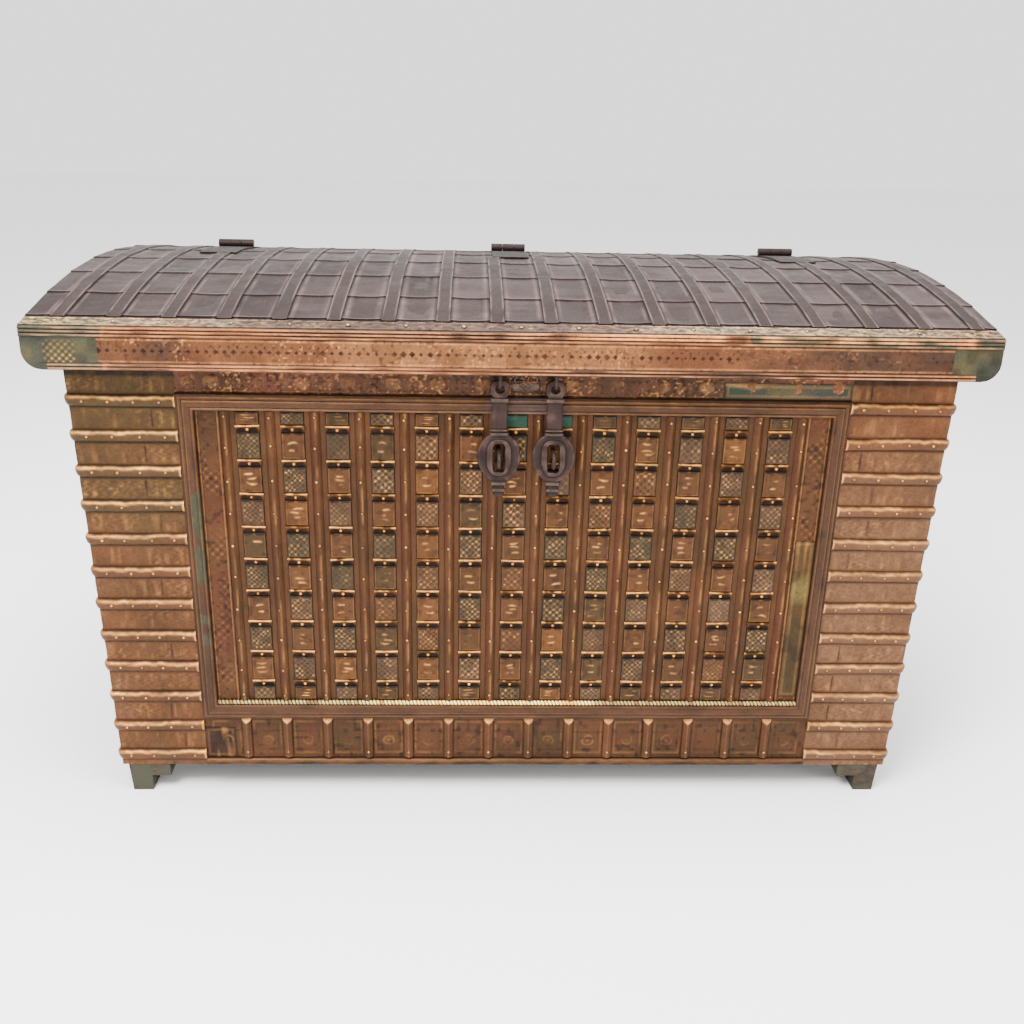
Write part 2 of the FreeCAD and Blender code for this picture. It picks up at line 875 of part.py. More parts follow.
lid_low = "rim + lid_gap"
front_rail_back = "body_front_top + wall_thickness"
whole = ("-(lid_half_timber)", "lid_half_timber")
left_end = ("-(lid_half_timber)", f"-({rail_inner})")
right_end = (rail_inner, "lid_half_timber")
lid_rails = (
    ("lid_front_rail", *whole, "rail_face", front_rail_back, lid_low, whole),
    ("lid_left_rail", *left_end, front_rail_back, "lid_rear", lid_low, left_end[:1]),
    ("lid_right_rail", *right_end, front_rail_back, "lid_rear", lid_low, right_end[1:]),
    ("rear_rail", *whole, wall_back, "lid_back", "rim", whole),
)
for lines in lid_rails:
    keep(rail(*lines), lines[0])
rear_end_rails = [
    rail("rear_left_rail", *left_end, "fixed_front", wall_back, "rim", left_end[:1]),
    rail("rear_right_rail", *right_end, "fixed_front", wall_back, "rim", right_end[1:]),
]
group("rear_end_rails", rear_end_rails)

beam_top = "crown_z + under_radius"
beam_blank = box(
    "parting_beam_blank",
    (f"-({rail_inner})", "fixed_front", "rim"),
    (rail_inner, "fixed_front + beam_depth", beam_top),
)
beam_cut = crown_cylinder("beam_cut", "under_radius - beam_height")
beam_arch = boolean("Common", "parting_beam_arch", beam_blank, under_crown)
keep(boolean("Cut", "parting_beam", beam_arch, beam_cut), "parting_beam")


# Planks, cleats and skin of the dome

timber = amount("timber_radius")
under = amount("under_radius")
skin_inner = amount("skin_radius")
outer = amount("crown_radius")
timber_half = amount("lid_half_timber")
half_length = amount("lid_length / 2")
lid_rear = amount("lid_rear")
fixed_front = amount("fixed_front")
rail_face = amount("rail_face")
lid_back = amount("lid_back")

lid_planks = [
    crown_slab(under, timber, front, back, -timber_half, timber_half)
    for front, back in boards(int(sizes["lid_plank_count"]), rail_face, lid_rear)
]
feature("lid_planks", lid_planks)
rear_planks = [
    crown_slab(under, timber, front, back, -timber_half, timber_half)
    for front, back in boards(int(sizes["rear_plank_count"]), fixed_front, lid_back)
]
feature("rear_planks", rear_planks)

cleat_front = amount(f"{front_rail_back} + cleat_end_gap")
cleat_back = lid_rear - amount("cleat_end_gap")
cleat_half = amount("cleat_width") / 2
cleat_place = amount("cleat_place_share * lid_length / 2")
cleat_under = under - amount("cleat_thickness")
cleats = [
    crown_slab(cleat_under, under, cleat_front, cleat_back, at - cleat_half, at + cleat_half)
    for at in (-cleat_place, cleat_place)
]
feature("lid_cleats", cleats)

seams = [rail_face + share * (lid_rear - rail_face) for share in seam_shares]
front_border = crown_slab(skin_inner, outer, seams[0], seams[1], -half_length, half_length)
feature("lid_border_sheet", [front_border])
lid_sheets = [
    crown_slab(skin_inner, outer, front, back, -half_length, half_length)
    for front, back in zip(seams[1:-1], seams[2:])
]
feature("lid_sheets", lid_sheets)
feature("rear_sheet", [crown_slab(skin_inner, outer, fixed_front, lid_back, -half_length, half_length)])

hinge_place = amount("lid_length / 2 - hinge_inset")
hinge_places = [-hinge_place, 0, hinge_place]
rib_half = amount("rib_width") / 2
rib_proud = amount("rib_proud")
rib_count = int(sizes["rib_count"])
rib_first = amount("rib_shift + rib_margin - lid_length / 2")
rib_places = [rib_first + number * amount("rib_pitch") for number in range(rib_count)]


def meets_strap(across):
    """Whether a rib lies under one of the hinge straps."""
    reach = amount("hinge_width") / 2 + rib_half
    return any(abs(across - place) < reach for place in hinge_places)


strap_front = amount("parting - strap_length - strap_gap")
strap_back = amount("parting + rear_strap_length + strap_gap")
lid_ribs = []
rear_ribs = []
for across in rib_places:
    stops = meets_strap(across)
    lid_end = strap_front if stops else lid_rear
    rear_start = strap_back if stops else fixed_front
    lid_ribs.append(crown_rib(across, rib_half, rib_proud, seams[1], lid_end))
    rear_ribs.append(crown_rib(across, rib_half, rib_proud, rear_start, lid_back))
feature("lid_ribs", lid_ribs)
feature("rear_ribs", rear_ribs)


def end_sheet(label, left, right, front, back):
    """Sheet on the outer face of an end rail, cut to the dome."""
    slab = box(
        f"{label}_blank",
        (left, front, "rim + lid_gap + rail_corner_radius"),
        (right, back, rail_blank_top),
    )
    return boolean("Common", label, slab, timber_crown)


left_skin = ("-lid_length / 2", "-(lid_half_timber)")
right_skin = ("lid_half_timber", "lid_length / 2")
end_runs = (("lid_end_sheets", "rail_face", "lid_rear"), ("rear_end_sheets", "fixed_front", "lid_back"))
for label, front, back in end_runs:
    group(label, [end_sheet(f"{label}_half", *ends, front, back) for ends in (left_skin, right_skin)])


# Facing of the front rail: top moulding, pierced and plain sheet, end caps, lower reeds

facing_top = "lid_top - moulding_height"
facing_low = f"{lid_low} + low_moulding_height"


def facing(label, left, right, low, high, thickness):
    """A strip on the face of the front rail."""
    outline = ((left, low), (right, low), (right, high), (left, high))
    return prism(label, "XZ_Plane", outline, thickness, "-(rail_face)")


pierced_left = "left_cap_width - lid_length / 2"
plain_right = "lid_length / 2 - right_cap_width"
plain_left = f"{plain_right} - plain_sheet_width"
keep(
    facing("rail_pierced_sheet", pierced_left, plain_left, facing_low, facing_top, "sheet_thickness"),
    "rail_pierced_sheet",
)
keep(
    facing("rail_plain_sheet", plain_left, plain_right, facing_low, facing_top, "sheet_thickness"),
    "rail_plain_sheet",
)
cap_inner = "lid_length / 2 - low_moulding_inset"
rail_caps = []
for label, side, inner in (("left_rail_cap", -1, pierced_left), ("right_rail_cap", 1, plain_right)):
    outer_edge = "lid_length / 2" if side > 0 else "-lid_length / 2"
    foot_edge = cap_inner if side > 0 else f"-({cap_inner})"
    outline = (
        (outer_edge, facing_top),
        (outer_edge, lid_low),
        (foot_edge, lid_low),
        (foot_edge, facing_low),
        (inner, facing_low),
        (inner, facing_top),
    )
    cap = prism(label, "XZ_Plane", outline, "sheet_thickness", "-(rail_face)")
    round_corners(cap, "rail_corner_radius", lower_corner(amount(lid_low), [amount(outer_edge)]))
    rail_caps.append(cap)
group("rail_caps", rail_caps)

top_half = amount("moulding_height") / 2
top_mid = amount("lid_top") - top_half
top_section = ridge_section(top_half, amount("moulding_proud"))
top_face = polygon_face([V(-half_length, rail_face - out, top_mid + side) for side, out in top_section])
feature("rail_top_moulding", [top_face.extrude(V(2 * half_length, 0, 0))])

low_reed_half = amount("low_moulding_height / low_reed_count") / 2
low_reed_end = amount(cap_inner)
low_reed_section = ridge_section(low_reed_half, amount("moulding_proud - sheet_thickness"))


def low_reed(middle):
    """A half-round bead along the foot of the rail, at a height."""
    section = [V(-low_reed_end, rail_face - out, middle + side) for side, out in low_reed_section]
    return polygon_face(section).extrude(V(2 * low_reed_end, 0, 0))


low_reed_middles = [
    amount(lid_low) + (2 * number + 1) * low_reed_half for number in range(int(sizes["low_reed_count"]))
]
feature("rail_low_reeds", [low_reed(middle) for middle in low_reed_middles])


# Hinges: three straps on the lid, three on the fixed part, and the pins between them

barrel_sides = 16
axis_y = amount("parting")
axis_z = crown_point(outer, axis_y).z + amount("knuckle_radius + knuckle_lift")
knuckle = amount("knuckle_radius")
pin = amount("pin_radius")
bore = amount("pin_radius + pin_clearance") / math.cos(math.pi / barrel_sides)  # its flats clear the pin
middle_half = amount("middle_knuckle") / 2
strap_half = amount("hinge_width") / 2
strap_top = outer + amount("strap_thickness")
barrel_clear = knuckle + amount("knuckle_gap")
parting_half = amount("parting_gap") / 2


def barrel(radius, left, right):
    """A length of hinge barrel or bore about the axis of the hinges."""
    corners = ring_of_points(V(left, axis_y, axis_z), radius, barrel_sides, Y_AXIS, Z_AXIS)
    return polygon_face(corners).extrude(V(right - left, 0, 0))


def leaf(centre, side, reach, spans):
    """A strap on the dome with its knuckles; side is -1 towards the front and 1 to the back."""
    near, far = sorted((axis_y + side * barrel_clear, axis_y + side * reach))
    start, end = sorted((axis_y + side * parting_half, axis_y + side * reach))
    strap = crown_slab(outer, strap_top, near, far, centre - strap_half, centre + strap_half)
    for low, high in spans:
        left = centre + low
        right = centre + high
        tongue = crown_slab(outer, strap_top, start, end, left, right)
        strap = strap.fuse([tongue, barrel(knuckle, left, right)]).cut(barrel(bore, left, right))
    return strap.removeSplitter().Solids[0]


lid_spans = ((-middle_half, middle_half),)
side_start = middle_half + amount("knuckle_gap")
rear_spans = ((-strap_half, -side_start), (side_start, strap_half))
lid_leaves = [leaf(place, -1, amount("strap_length"), lid_spans) for place in hinge_places]
rear_leaves = [leaf(place, 1, amount("rear_strap_length"), rear_spans) for place in hinge_places]
feature("lid_hinge_straps", lid_leaves)
feature("rear_hinge_straps", rear_leaves)
pin_starts = [V(place - strap_half, axis_y, axis_z) for place in hinge_places]
feature("hinge_pins", [Part.makeCylinder(pin, 2 * strap_half, start, X_AXIS) for start in pin_starts])


# Rings under the rail and the hasps that hang on them

def staple_form(bend, wire, leg, placement):
    """A forged staple: in its own frame the bend is towards +Y and the legs towards -Y."""
    turns = [math.pi * number / staple_runs for number in range(staple_runs + 1)]
    route = [V(bend * math.cos(turn), bend * math.sin(turn), 0) for turn in turns]
    route = [V(bend, -leg, 0)] + route + [V(-bend, -leg, 0)]
    staple = swept(ring_of_points(route[0], wire, wire_sides, X_AXIS, Z_AXIS), route)
    staple.Placement = placement
    return staple


wire_sides = 8
staple_runs = 8
hasp_places = {"left": "left_hasp_x", "right": "right_hasp_x"}
ring_turn = FreeCAD.Rotation(Y_AXIS, V(0, 0, -1), V(-1, 0, 0), "XYZ")
staple_turn = FreeCAD.Rotation(
    V(0, -math.sin(lean), math.cos(lean)),
    V(0, -math.cos(lean), -math.sin(lean)),
    X_AXIS,
    "XYZ",
)
hasp_depth = (amount("body_front_top - hasp_y") + amount("staple_drop") * math.tan(lean)) * math.cos(lean)
staple_out = hasp_depth + amount("hasp_thickness / 2 + staple_eye_gap")


def slotted_oval(label, at, oval_z):
    """The oval plate of a hasp with its upright slot."""
    ellipse = doc.addObject("Part::Ellipse", f"{label}_oval_line")
    bind(ellipse, MajorRadius="hasp_oval_height / 2", MinorRadius="hasp_oval_width / 2")
    upright = FreeCAD.Rotation(Z_AXIS, V(-1, 0, 0), V(0, -1, 0), "XYZ")
    ellipse.Placement = FreeCAD.Placement(V(), upright)
    bind(
        ellipse,
        Placement__Base__x=at,
        Placement__Base__y="hasp_y + hasp_thickness / 2",
        Placement__Base__z=oval_z,
    )
    oval = doc.addObject("Part::Extrusion", f"{label}_oval")
    oval.Base = ellipse
    oval.DirMode = "Custom"
    oval.Dir = V(0, -1, 0)
    oval.Solid = True
    bind(oval, LengthFwd="hasp_thickness")
    return oval


def hasp(label, at):
    """A forged hasp that hangs from its ring: eye, neck, slotted oval and tail."""
    front = "hasp_y - hasp_thickness / 2"
    back = "hasp_y + hasp_thickness / 2"
    raised = f"{front} - hasp_collar_proud"
    to_front = FreeCAD.Rotation(X_AXIS, 90)
    oval_z = "hole_z - hasp_neck_drop"
    tail_z = "hole_z - hasp_tail_drop"
    eye = rod(f"{label}_eye", "hasp_head_radius", "hasp_thickness", (at, back, "hole_z"), to_front)
    neck = box(
        f"{label}_neck",
        (f"{at} - hasp_neck_width / 2", front, oval_z),
        (f"{at} + hasp_neck_width / 2", back, "hole_z"),
    )
    collar_z = "hole_z - hasp_head_radius"
    collars = [
        box(
            f"{label}_collar",
            (f"{at} - hasp_collar_width / 2", raised, f"{low} - hasp_collar_height"),
            (f"{at} + hasp_collar_width / 2", back, low),
        )
        for low in (collar_z, f"{oval_z} + hasp_oval_height / 2 + hasp_collar_height / 2")
    ]
    tail = tapered_block(
        f"{label}_tail",
        (f"{at} - hasp_tail_width / 2", f"{at} + hasp_tail_width / 2", front, back),
        (f"{at} - hasp_tail_top_width / 2", f"{at} + hasp_tail_top_width / 2", front, back),
        tail_z,
        f"{oval_z} - hasp_oval_height / 2 + hasp_tail_lap",
    )
    knob = box(
        f"{label}_knob",
        (f"{at} - hasp_knob_width / 2", raised, tail_z),
        (f"{at} + hasp_knob_width / 2", back, f"{tail_z} + hasp_collar_height"),
    )
    solid = fused(f"{label}_solid", [eye, neck, slotted_oval(label, at, oval_z), tail, knob] + collars)
    deep = "hasp_thickness + 2 * cut_overrun"
    behind = f"{back} + cut_overrun"
    hole = rod(f"{label}_hole", "hasp_hole_radius", deep, (at, behind, "hole_z"), to_front)
    slot = box(
        f"{label}_slot",
        (f"{at} - hasp_slot_width / 2", f"{front} - cut_overrun", f"{oval_z} - hasp_slot_height / 2"),
        (f"{at} + hasp_slot_width / 2", behind, f"{oval_z} + hasp_slot_height / 2"),
    )
    return keep(boolean("Cut", label, solid, fused(f"{label}_openings", [hole, slot])), label)


rings = []
staples = []
for hand, at in hasp_places.items():
    ring_place = FreeCAD.Placement(V(amount(at), amount("hasp_y"), amount("ring_z")), ring_turn)
    rings.append(staple_form(amount("ring_radius"), amount("ring_wire"), amount("ring_drop"), ring_place))
    hasp(f"{hand}_hasp", at)
    staple_place = FreeCAD.Placement(front_place.multVec(V(amount(at), staple_up, staple_out)), staple_turn)
    staple_leg = staple_out - skin
    staples.append(staple_form(amount("staple_radius"), amount("staple_wire"), staple_leg, staple_place))
feature("hasp_rings", rings)
feature("hasp_staples", staples)


# Pierced plate between the hasps: a bar with two loops and a rosette

lock_up = amount("front_slope - lock_plate_drop")
lock_width = amount("lock_plate_width")
lock_height = amount("lock_plate_height")
lock_at = amount("(left_hasp_x + right_hasp_x) / 2 - lock_plate_shift")
lock_corner = V(lock_at - lock_width / 2, lock_up - lock_height / 2, skin)
lock_plate = Part.makeBox(lock_width, lock_height, skin, lock_corner)


def lock_disc(at, radius):
    """A disc as thick as the sheet, standing on the frieze over the plate's upper edge."""
    centre = V(lock_at + at, lock_up + lock_height / 2, skin)
    return polygon_face(ring_of_points(centre, radius, loop_sides, X_AXIS, Y_AXIS)).extrude(V(0, 0, skin))


loop_sides = 12
loop_shift = amount("lock_loop_spacing") / 2
for shift in (-loop_shift, loop_shift):
    lock_plate = lock_plate.fuse(lock_disc(shift, amount("lock_loop_radius")))
for shift in (-loop_shift, loop_shift):
    lock_plate = lock_plate.cut(lock_disc(shift, amount("lock_loop_hole")))
rosette_foot = V(lock_at, lock_up, 2 * skin)
rosette_rings = (
    (rosette_foot, amount("rosette_radius")),
    (rosette_foot + V(0, 0, amount("rosette_proud")), amount("rosette_top_radius")),
)
rosette_loops = []
for centre, radius in rosette_rings:
    corners = ring_of_points(centre, radius, loop_sides, X_AXIS, Y_AXIS)
    rosette_loops.append(Part.makePolygon(corners + corners[:1]))
rosette = Part.makeLoft(rosette_loops, True, True)
feature("lock_plate", [lock_plate.fuse(rosette).removeSplitter()], front_place)


# Every object is checked before any file is written

doc.recompute()
doc.removeObject(working.Name)
os.makedirs("parts", exist_ok=True)
for item in doc.Objects:
    if "Invalid" in item.State or "Error" in item.State:
        raise RuntimeError(f"{item.Label} is in state {item.State}")
for item in pieces:
    if item.Shape.isNull() or not item.Shape.isValid():
        raise RuntimeError(f"{item.Label} has no valid shape")
for item in pieces:
    item.Shape.exportStep(f"parts/{item.Label}.step")
print(len(pieces), "sub-parts written")
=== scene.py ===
import math
from functools import partial
from math import pi, tau

import bpy
import numpy as np
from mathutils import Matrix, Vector


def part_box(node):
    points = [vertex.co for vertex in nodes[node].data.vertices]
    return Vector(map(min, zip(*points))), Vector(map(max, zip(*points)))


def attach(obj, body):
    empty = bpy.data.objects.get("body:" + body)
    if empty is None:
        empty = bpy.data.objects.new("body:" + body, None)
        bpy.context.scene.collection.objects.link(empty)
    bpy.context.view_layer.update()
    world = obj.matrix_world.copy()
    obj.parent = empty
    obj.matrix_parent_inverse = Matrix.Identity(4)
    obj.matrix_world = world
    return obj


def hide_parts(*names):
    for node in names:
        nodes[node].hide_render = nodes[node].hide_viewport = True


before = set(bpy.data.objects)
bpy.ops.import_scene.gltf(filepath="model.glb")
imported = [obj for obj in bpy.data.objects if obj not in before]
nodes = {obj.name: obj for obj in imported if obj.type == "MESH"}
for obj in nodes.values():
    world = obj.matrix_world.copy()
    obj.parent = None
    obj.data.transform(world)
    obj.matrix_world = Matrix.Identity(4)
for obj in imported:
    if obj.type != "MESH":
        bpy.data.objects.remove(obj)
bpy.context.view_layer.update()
print("frame loaded:", len(nodes), "nodes")

mm = 0.001


# Reading the frame

# All vertices of a node, one row each
def nodePoints(node):
    mesh = nodes[node].data
    points = np.empty(len(mesh.vertices) * 3, np.float32)
    mesh.vertices.foreach_get("co", points)
    return points.reshape(-1, 3).astype(float)


# Boxes of a node's separate solids: each vertex takes the lowest label among its triangles until nothing changes
def solidBoxes(node, toLocal=None):
    mesh = nodes[node].data
    keys, merged = np.unique(np.round(nodePoints(node), 5), axis=0, return_inverse=True)
    mesh.calc_loop_triangles()
    corners = np.empty(len(mesh.loop_triangles) * 3, np.int32)
    mesh.loop_triangles.foreach_get("vertices", corners)
    triangles = merged.ravel()[corners].reshape(-1, 3)
    labels = np.arange(len(keys))
    while True:
        spread = labels.copy()
        np.minimum.at(spread, triangles.ravel(), np.repeat(labels[triangles].min(1), 3))
        if (spread == labels).all():
            break
        labels = spread
    local = toLocal(keys) if toLocal else keys
    boxes = [(local[labels == label].min(0), local[labels == label].max(0)) for label in np.unique(labels)]
    boxes.sort(key=lambda pair: (round(pair[0][0], 3), round(pair[0][1], 3)))
    return np.array([low for low, high in boxes]), np.array([high for low, high in boxes])


wallPoints = nodePoints("front_wall")
footLevel, rimLevel = wallPoints[:, 2].min(), wallPoints[:, 2].max()
footRow = wallPoints[wallPoints[:, 2] < footLevel + mm]
rimRow = wallPoints[wallPoints[:, 2] > rimLevel - mm]
frontFoot, frontTop = footRow[:, 1].min(), rimRow[:, 1].min()
halfFoot, halfTop = footRow[:, 0].max(), rimRow[:, 0].max()
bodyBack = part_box("back_wall")[1].y
frontSlope = math.hypot(frontTop - frontFoot, rimLevel - footLevel)
upwards = np.array([0, (frontTop - frontFoot) / frontSlope, (rimLevel - footLevel) / frontSlope])
outwards = np.array([0, -upwards[2], upwards[1]])
frontOrigin = np.array([0, frontFoot, footLevel])
sheetGauge = 1.2 * mm


# A point of the leaning front: origin + across along X + up along the slope + out along the face's normal
def onFront(across, up, out):
    across, up, out = np.broadcast_arrays(across, up, out)
    return frontOrigin + across[..., None] * np.array([1, 0, 0]) + up[..., None] * upwards + out[..., None] * outwards


# The same point back in the front's own measures
def toFront(points):
    moved = points - frontOrigin
    return np.stack((moved[..., 0], moved @ upwards, moved @ outwards), -1)


# Lowest and highest corner of a node in the front's own measures
def frontBox(node):
    local = toFront(nodePoints(node))
    return local.min(0), local.max(0)


# Half length of the body at a height: it runs straight from foot to rim
def halfAt(height):
    return halfFoot + (halfTop - halfFoot) * (height - footLevel) / (rimLevel - footLevel)


# Front edge of the body at a height, which runs straight in the same way
def frontAt(height):
    return frontFoot + (frontTop - frontFoot) * (height - footLevel) / (rimLevel - footLevel)


# Numbers over surfaces

# Smooth noise from -1 to 1: random values on a square lattice, blended by a smoothstep between its points
def noise(a, b, cell, seed):
    size = 64
    table = np.random.default_rng(seed).uniform(-1, 1, (size, size))
    a, b = np.broadcast_arrays(a / cell, b / cell)
    i, j = np.floor(a).astype(int), np.floor(b).astype(int)
    s, t = a - i, b - j
    s, t = s * s * (3 - 2 * s), t * t * (3 - 2 * t)
    i, j, right, above = i % size, j % size, (i + 1) % size, (j + 1) % size
    low = table[i, j] * (1 - s) + table[right, j] * s
    high = table[i, above] * (1 - s) + table[right, above] * s
    return low * (1 - t) + high * t


# Patches of smooth noise: 0 where it is below low, 1 where it is above high
def patches(a, b, cell, seed, low, high):
    return rise(noise(a, b, cell, seed), low, high)


# Dents of worn sheet: three sizes of smooth noise added, each half as strong as the one before
def dents(a, b, seed, cell=0.06):
    return (noise(a, b, cell, seed) + noise(a, b, cell / 2.7, seed + 1) / 2
            + noise(a, b, cell / 7, seed + 2) / 4) / 1.75


# A bell: e to the minus square of distance over width, so 1 in the middle and nearly 0 at two widths
def bell(distance, width):
    return np.exp(-(distance / width) ** 2)


# A smooth step: 0 at start, 1 at end, and three squares less two cubes of the share between
def rise(value, start, end):
    t = np.clip((value - start) / (end - start), 0, 1)
    return t * t * (3 - 2 * t)


# Distance to the nearest whole multiple of a pitch, counted from shift
def fromNearest(value, pitch, shift=0):
    return np.abs((value - shift + pitch / 2) % pitch - pitch / 2)


# Building meshes

# Marks that each point of a mesh carries for its material, and what they are where nothing is said: grime together
# with painted shade, rubbed shine together with painted highlight, and a tint
plainMarks = {"dirt": 0.0, "rub": 0.0, "tint": 0.5}


# A batch is N shapes of R closed rings with S points each; marks are numbers for each point; a loop's last ring
# joins its first
def batch(points, loop=False, **marks):
    points = np.asarray(points, float)
    if points.ndim == 3:
        points = points[None]
        marks = {name: np.asarray(values, float)[None] for name, values in marks.items()}
    marks = {name: np.broadcast_to(values, points.shape[:-1]) for name, values in marks.items()}
    return points, {name: values if name == "tint" else np.clip(values, 0, 1) for name, values in marks.items()}, loop


# Faces of a batch: ring k joins ring k+1 point by point, and end rings are capped; turned if the volume is negative
def ringFaces(points, start, loop):
    count, rings, size = points.shape[:3]
    k = np.arange(rings if loop else rings - 1)[:, None] * size
    j = np.arange(size)[None, :]
    n, after = (j + 1) % size, (k + size) % (rings * size)
    quads = np.stack((k + j, k + n, after + n, after + j), -1).reshape(-1, 4)
    caps = np.stack((np.arange(size)[::-1], np.arange(size) + (rings - 1) * size))[:0 if loop else 2]
    flat = points[0].reshape(-1, 3) - points[0].reshape(-1, 3).mean(0)
    a, b, c, d = (flat[quads[:, corner]] for corner in range(4))
    volume = np.einsum("ij,ij->", a, np.cross(b, c)) + np.einsum("ij,ij->", a, np.cross(c, d))
    if volume < 0:
        quads, caps = quads[:, ::-1], caps[:, ::-1]
    offsets = start + np.arange(count)[:, None, None] * rings * size
    return (quads + offsets).reshape(-1, 4), (caps + offsets).reshape(-1, size)


# One piece from several batches in a finish, riding on a body and standing for its nodes
def addPiece(name, batches, finish, *replaced, body="carcass", smooth=38):
    vertices, faces, start = [], [], 0
    marks = {mark: [] for mark in plainMarks}
    for points, given, loop in batches:
        quads, caps = ringFaces(points, start, loop)
        vertices.append(points.reshape(-1, 3))
        faces += quads.tolist() + caps.tolist()
        for mark, values in marks.items():
            values.append(np.broadcast_to(given.get(mark, plainMarks[mark]), points.shape[:-1]).reshape(-1))
        start += points[..., 0].size
    mesh = bpy.data.meshes.new(name)
    mesh.from_pydata(np.concatenate(vertices).tolist(), [], faces)
    for mark, values in marks.items():
        layer = mesh.attributes.new(mark, "FLOAT", "POINT")
        layer.data.foreach_set("value", np.concatenate(values).astype(np.float32))
    mesh.shade_smooth()
    mesh.set_sharp_from_angle(angle=math.radians(smooth))
    mesh.materials.append(finishes[finish])
    piece = bpy.data.objects.new(name, mesh)
    bpy.context.scene.collection.objects.link(piece)
    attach(piece, body)
    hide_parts(*replaced)
    print(name, len(faces), "faces")


# A sheet as closed rings: each ring runs along the relief at one height and returns straight along the back
def sheetRings(place, across, up, out, back, **marks):
    across, up, out, back = np.broadcast_arrays(across, up, out, back)

    def closed(values):
        return np.concatenate((values, values[..., -1:], values[..., :1]), -1)

    outs = np.concatenate((out, back[..., -1:], back[..., :1]), -1)
    marks = {name: closed(np.broadcast_to(values, out.shape)) for name, values in marks.items()}
    return batch(place(closed(across), closed(up), outs), **marks)


# Even lines from low to high, about one step apart
def lines(low, high, step):
    return np.linspace(low, high, max(2, int(round((high - low) / step)) + 1))


# Even lines both ways over a face: a row of places across and a column of places up
def grid(low, high, step, stepUp=None):
    return lines(low[0], high[0], step)[None, :], lines(low[1], high[1], stepUp or step)[:, None]


# Nail heads: low domes about each centre, standing along its normal. Each has a pale top, which is rubbed metal and a
# painted glint, and a dark rim round its foot, which is grime and painted shade
def nailBatch(centres, normals, radius, height, seed):
    centres, normals = np.broadcast_arrays(np.asarray(centres, float), np.asarray(normals, float))
    draw = np.random.default_rng(seed)
    size = radius * draw.uniform(0.85, 1.15, len(centres))
    side = np.cross(normals, (0.3, 0.2, 0.93))
    side = side / np.linalg.norm(side, axis=1)[:, None]
    other = np.cross(normals, side)
    turn = np.arange(8) * pi / 4
    points = []
    for share, level in ((1.5, -0.25), (1.35, 0.05), (0.95, 0.3), (0.66, 0.85), (0.2, 1)):
        spoke = side[:, None] * np.cos(turn)[None, :, None] + other[:, None] * np.sin(turn)[None, :, None]
        points.append(centres[:, None] + spoke * (size * share)[:, None, None] + (normals * height * level)[:, None])
    worn = draw.uniform(0.35, 1, len(centres))[:, None, None]
    rub = np.array([0, 0, 0.4, 1, 1])[None, :, None] * worn
    dirt = np.array([0.8, 0.9, 0.5, 0, 0])[None, :, None]
    return batch(np.stack(points, 1), rub=rub, dirt=dirt)


# Materials

# The film's curve from scene to screen, the light that falls on the chest, and a push away from grey
film = {"seen": (0, 0.16, 0.28, 0.39, 0.5, 0.68, 0.79, 0.88, 0.93, 1), "light": 4.6, "push": 1.12,
        "scene": (0.003, 0.02, 0.05, 0.1, 0.18, 0.5, 1.0, 2.2, 4.0, 12.0)}


# Colours are given as they look on the screen, from 0 to 255: the film's curve is read backwards, the colour that the
# film takes away is added again, and the light that falls on the chest is divided out
def tone(red, green, blue):
    scene = np.interp(np.array([red, green, blue]) / 255, film["seen"], film["scene"])
    grey = scene @ np.array([0.2126, 0.7152, 0.0722])
    return (*np.clip((grey + (scene - grey) * film["push"]) / film["light"], 0.002, 0.95).tolist(), 1.0)


# Joins or fills the inputs of a node
def fill(tree, node, inputs):
    for name, value in inputs.items():
        if isinstance(value, bpy.types.NodeSocket):
            tree.links.new(value, node.inputs[name])
        else:
            node.inputs[name].default_value = value


# Adds a node, sets its properties and fills its inputs
def addNode(tree, kind, inputs, **properties):
    node = tree.nodes.new(kind)
    for name, value in properties.items():
        setattr(node, name, value)
    fill(tree, node, inputs)
    return node


# A node of arithmetic on one or two numbers
def mathNode(tree, operation, first, second=0.0):
    return addNode(tree, "ShaderNodeMath", {0: first, 1: second}, operation=operation).outputs[0]


# Short names for the common nodes of a tree: product, sum, difference, a value spread from one range to another and
# held at its ends, a colour mixed from one to another by a factor, and cloudy noise
def nodeTools(tree):
    times, plus, less = (partial(mathNode, tree, operation) for operation in ("MULTIPLY", "ADD", "SUBTRACT"))

    def spread(value, low, high, newLow=0.0, newHigh=1.0):
        ends = {"Value": value, "From Min": low, "From Max": high, "To Min": newLow, "To Max": newHigh}
        return addNode(tree, "ShaderNodeMapRange", ends).outputs["Result"]

    def mix(factor, first, second, blend="MIX"):
        ends = {0: factor, 6: first, 7: second}
        return addNode(tree, "ShaderNodeMix", ends, data_type="RGBA", blend_type=blend).outputs[2]

    def cloud(place, scale, detail, roughness):
        ends = {"Vector": place, "Scale": scale, "Detail": detail, "Roughness": roughness}
        return addNode(tree, "ShaderNodeTexNoise", ends).outputs["Fac"]

    return times, plus, less, spread, mix, cloud


colours = ("bright", "tarnish", "patina", "grime", "shine", "low", "high", "paint")
amounts = ("tarnishAmount", "patinaAmount", "grimeAmount", "rubAmount", "scale")
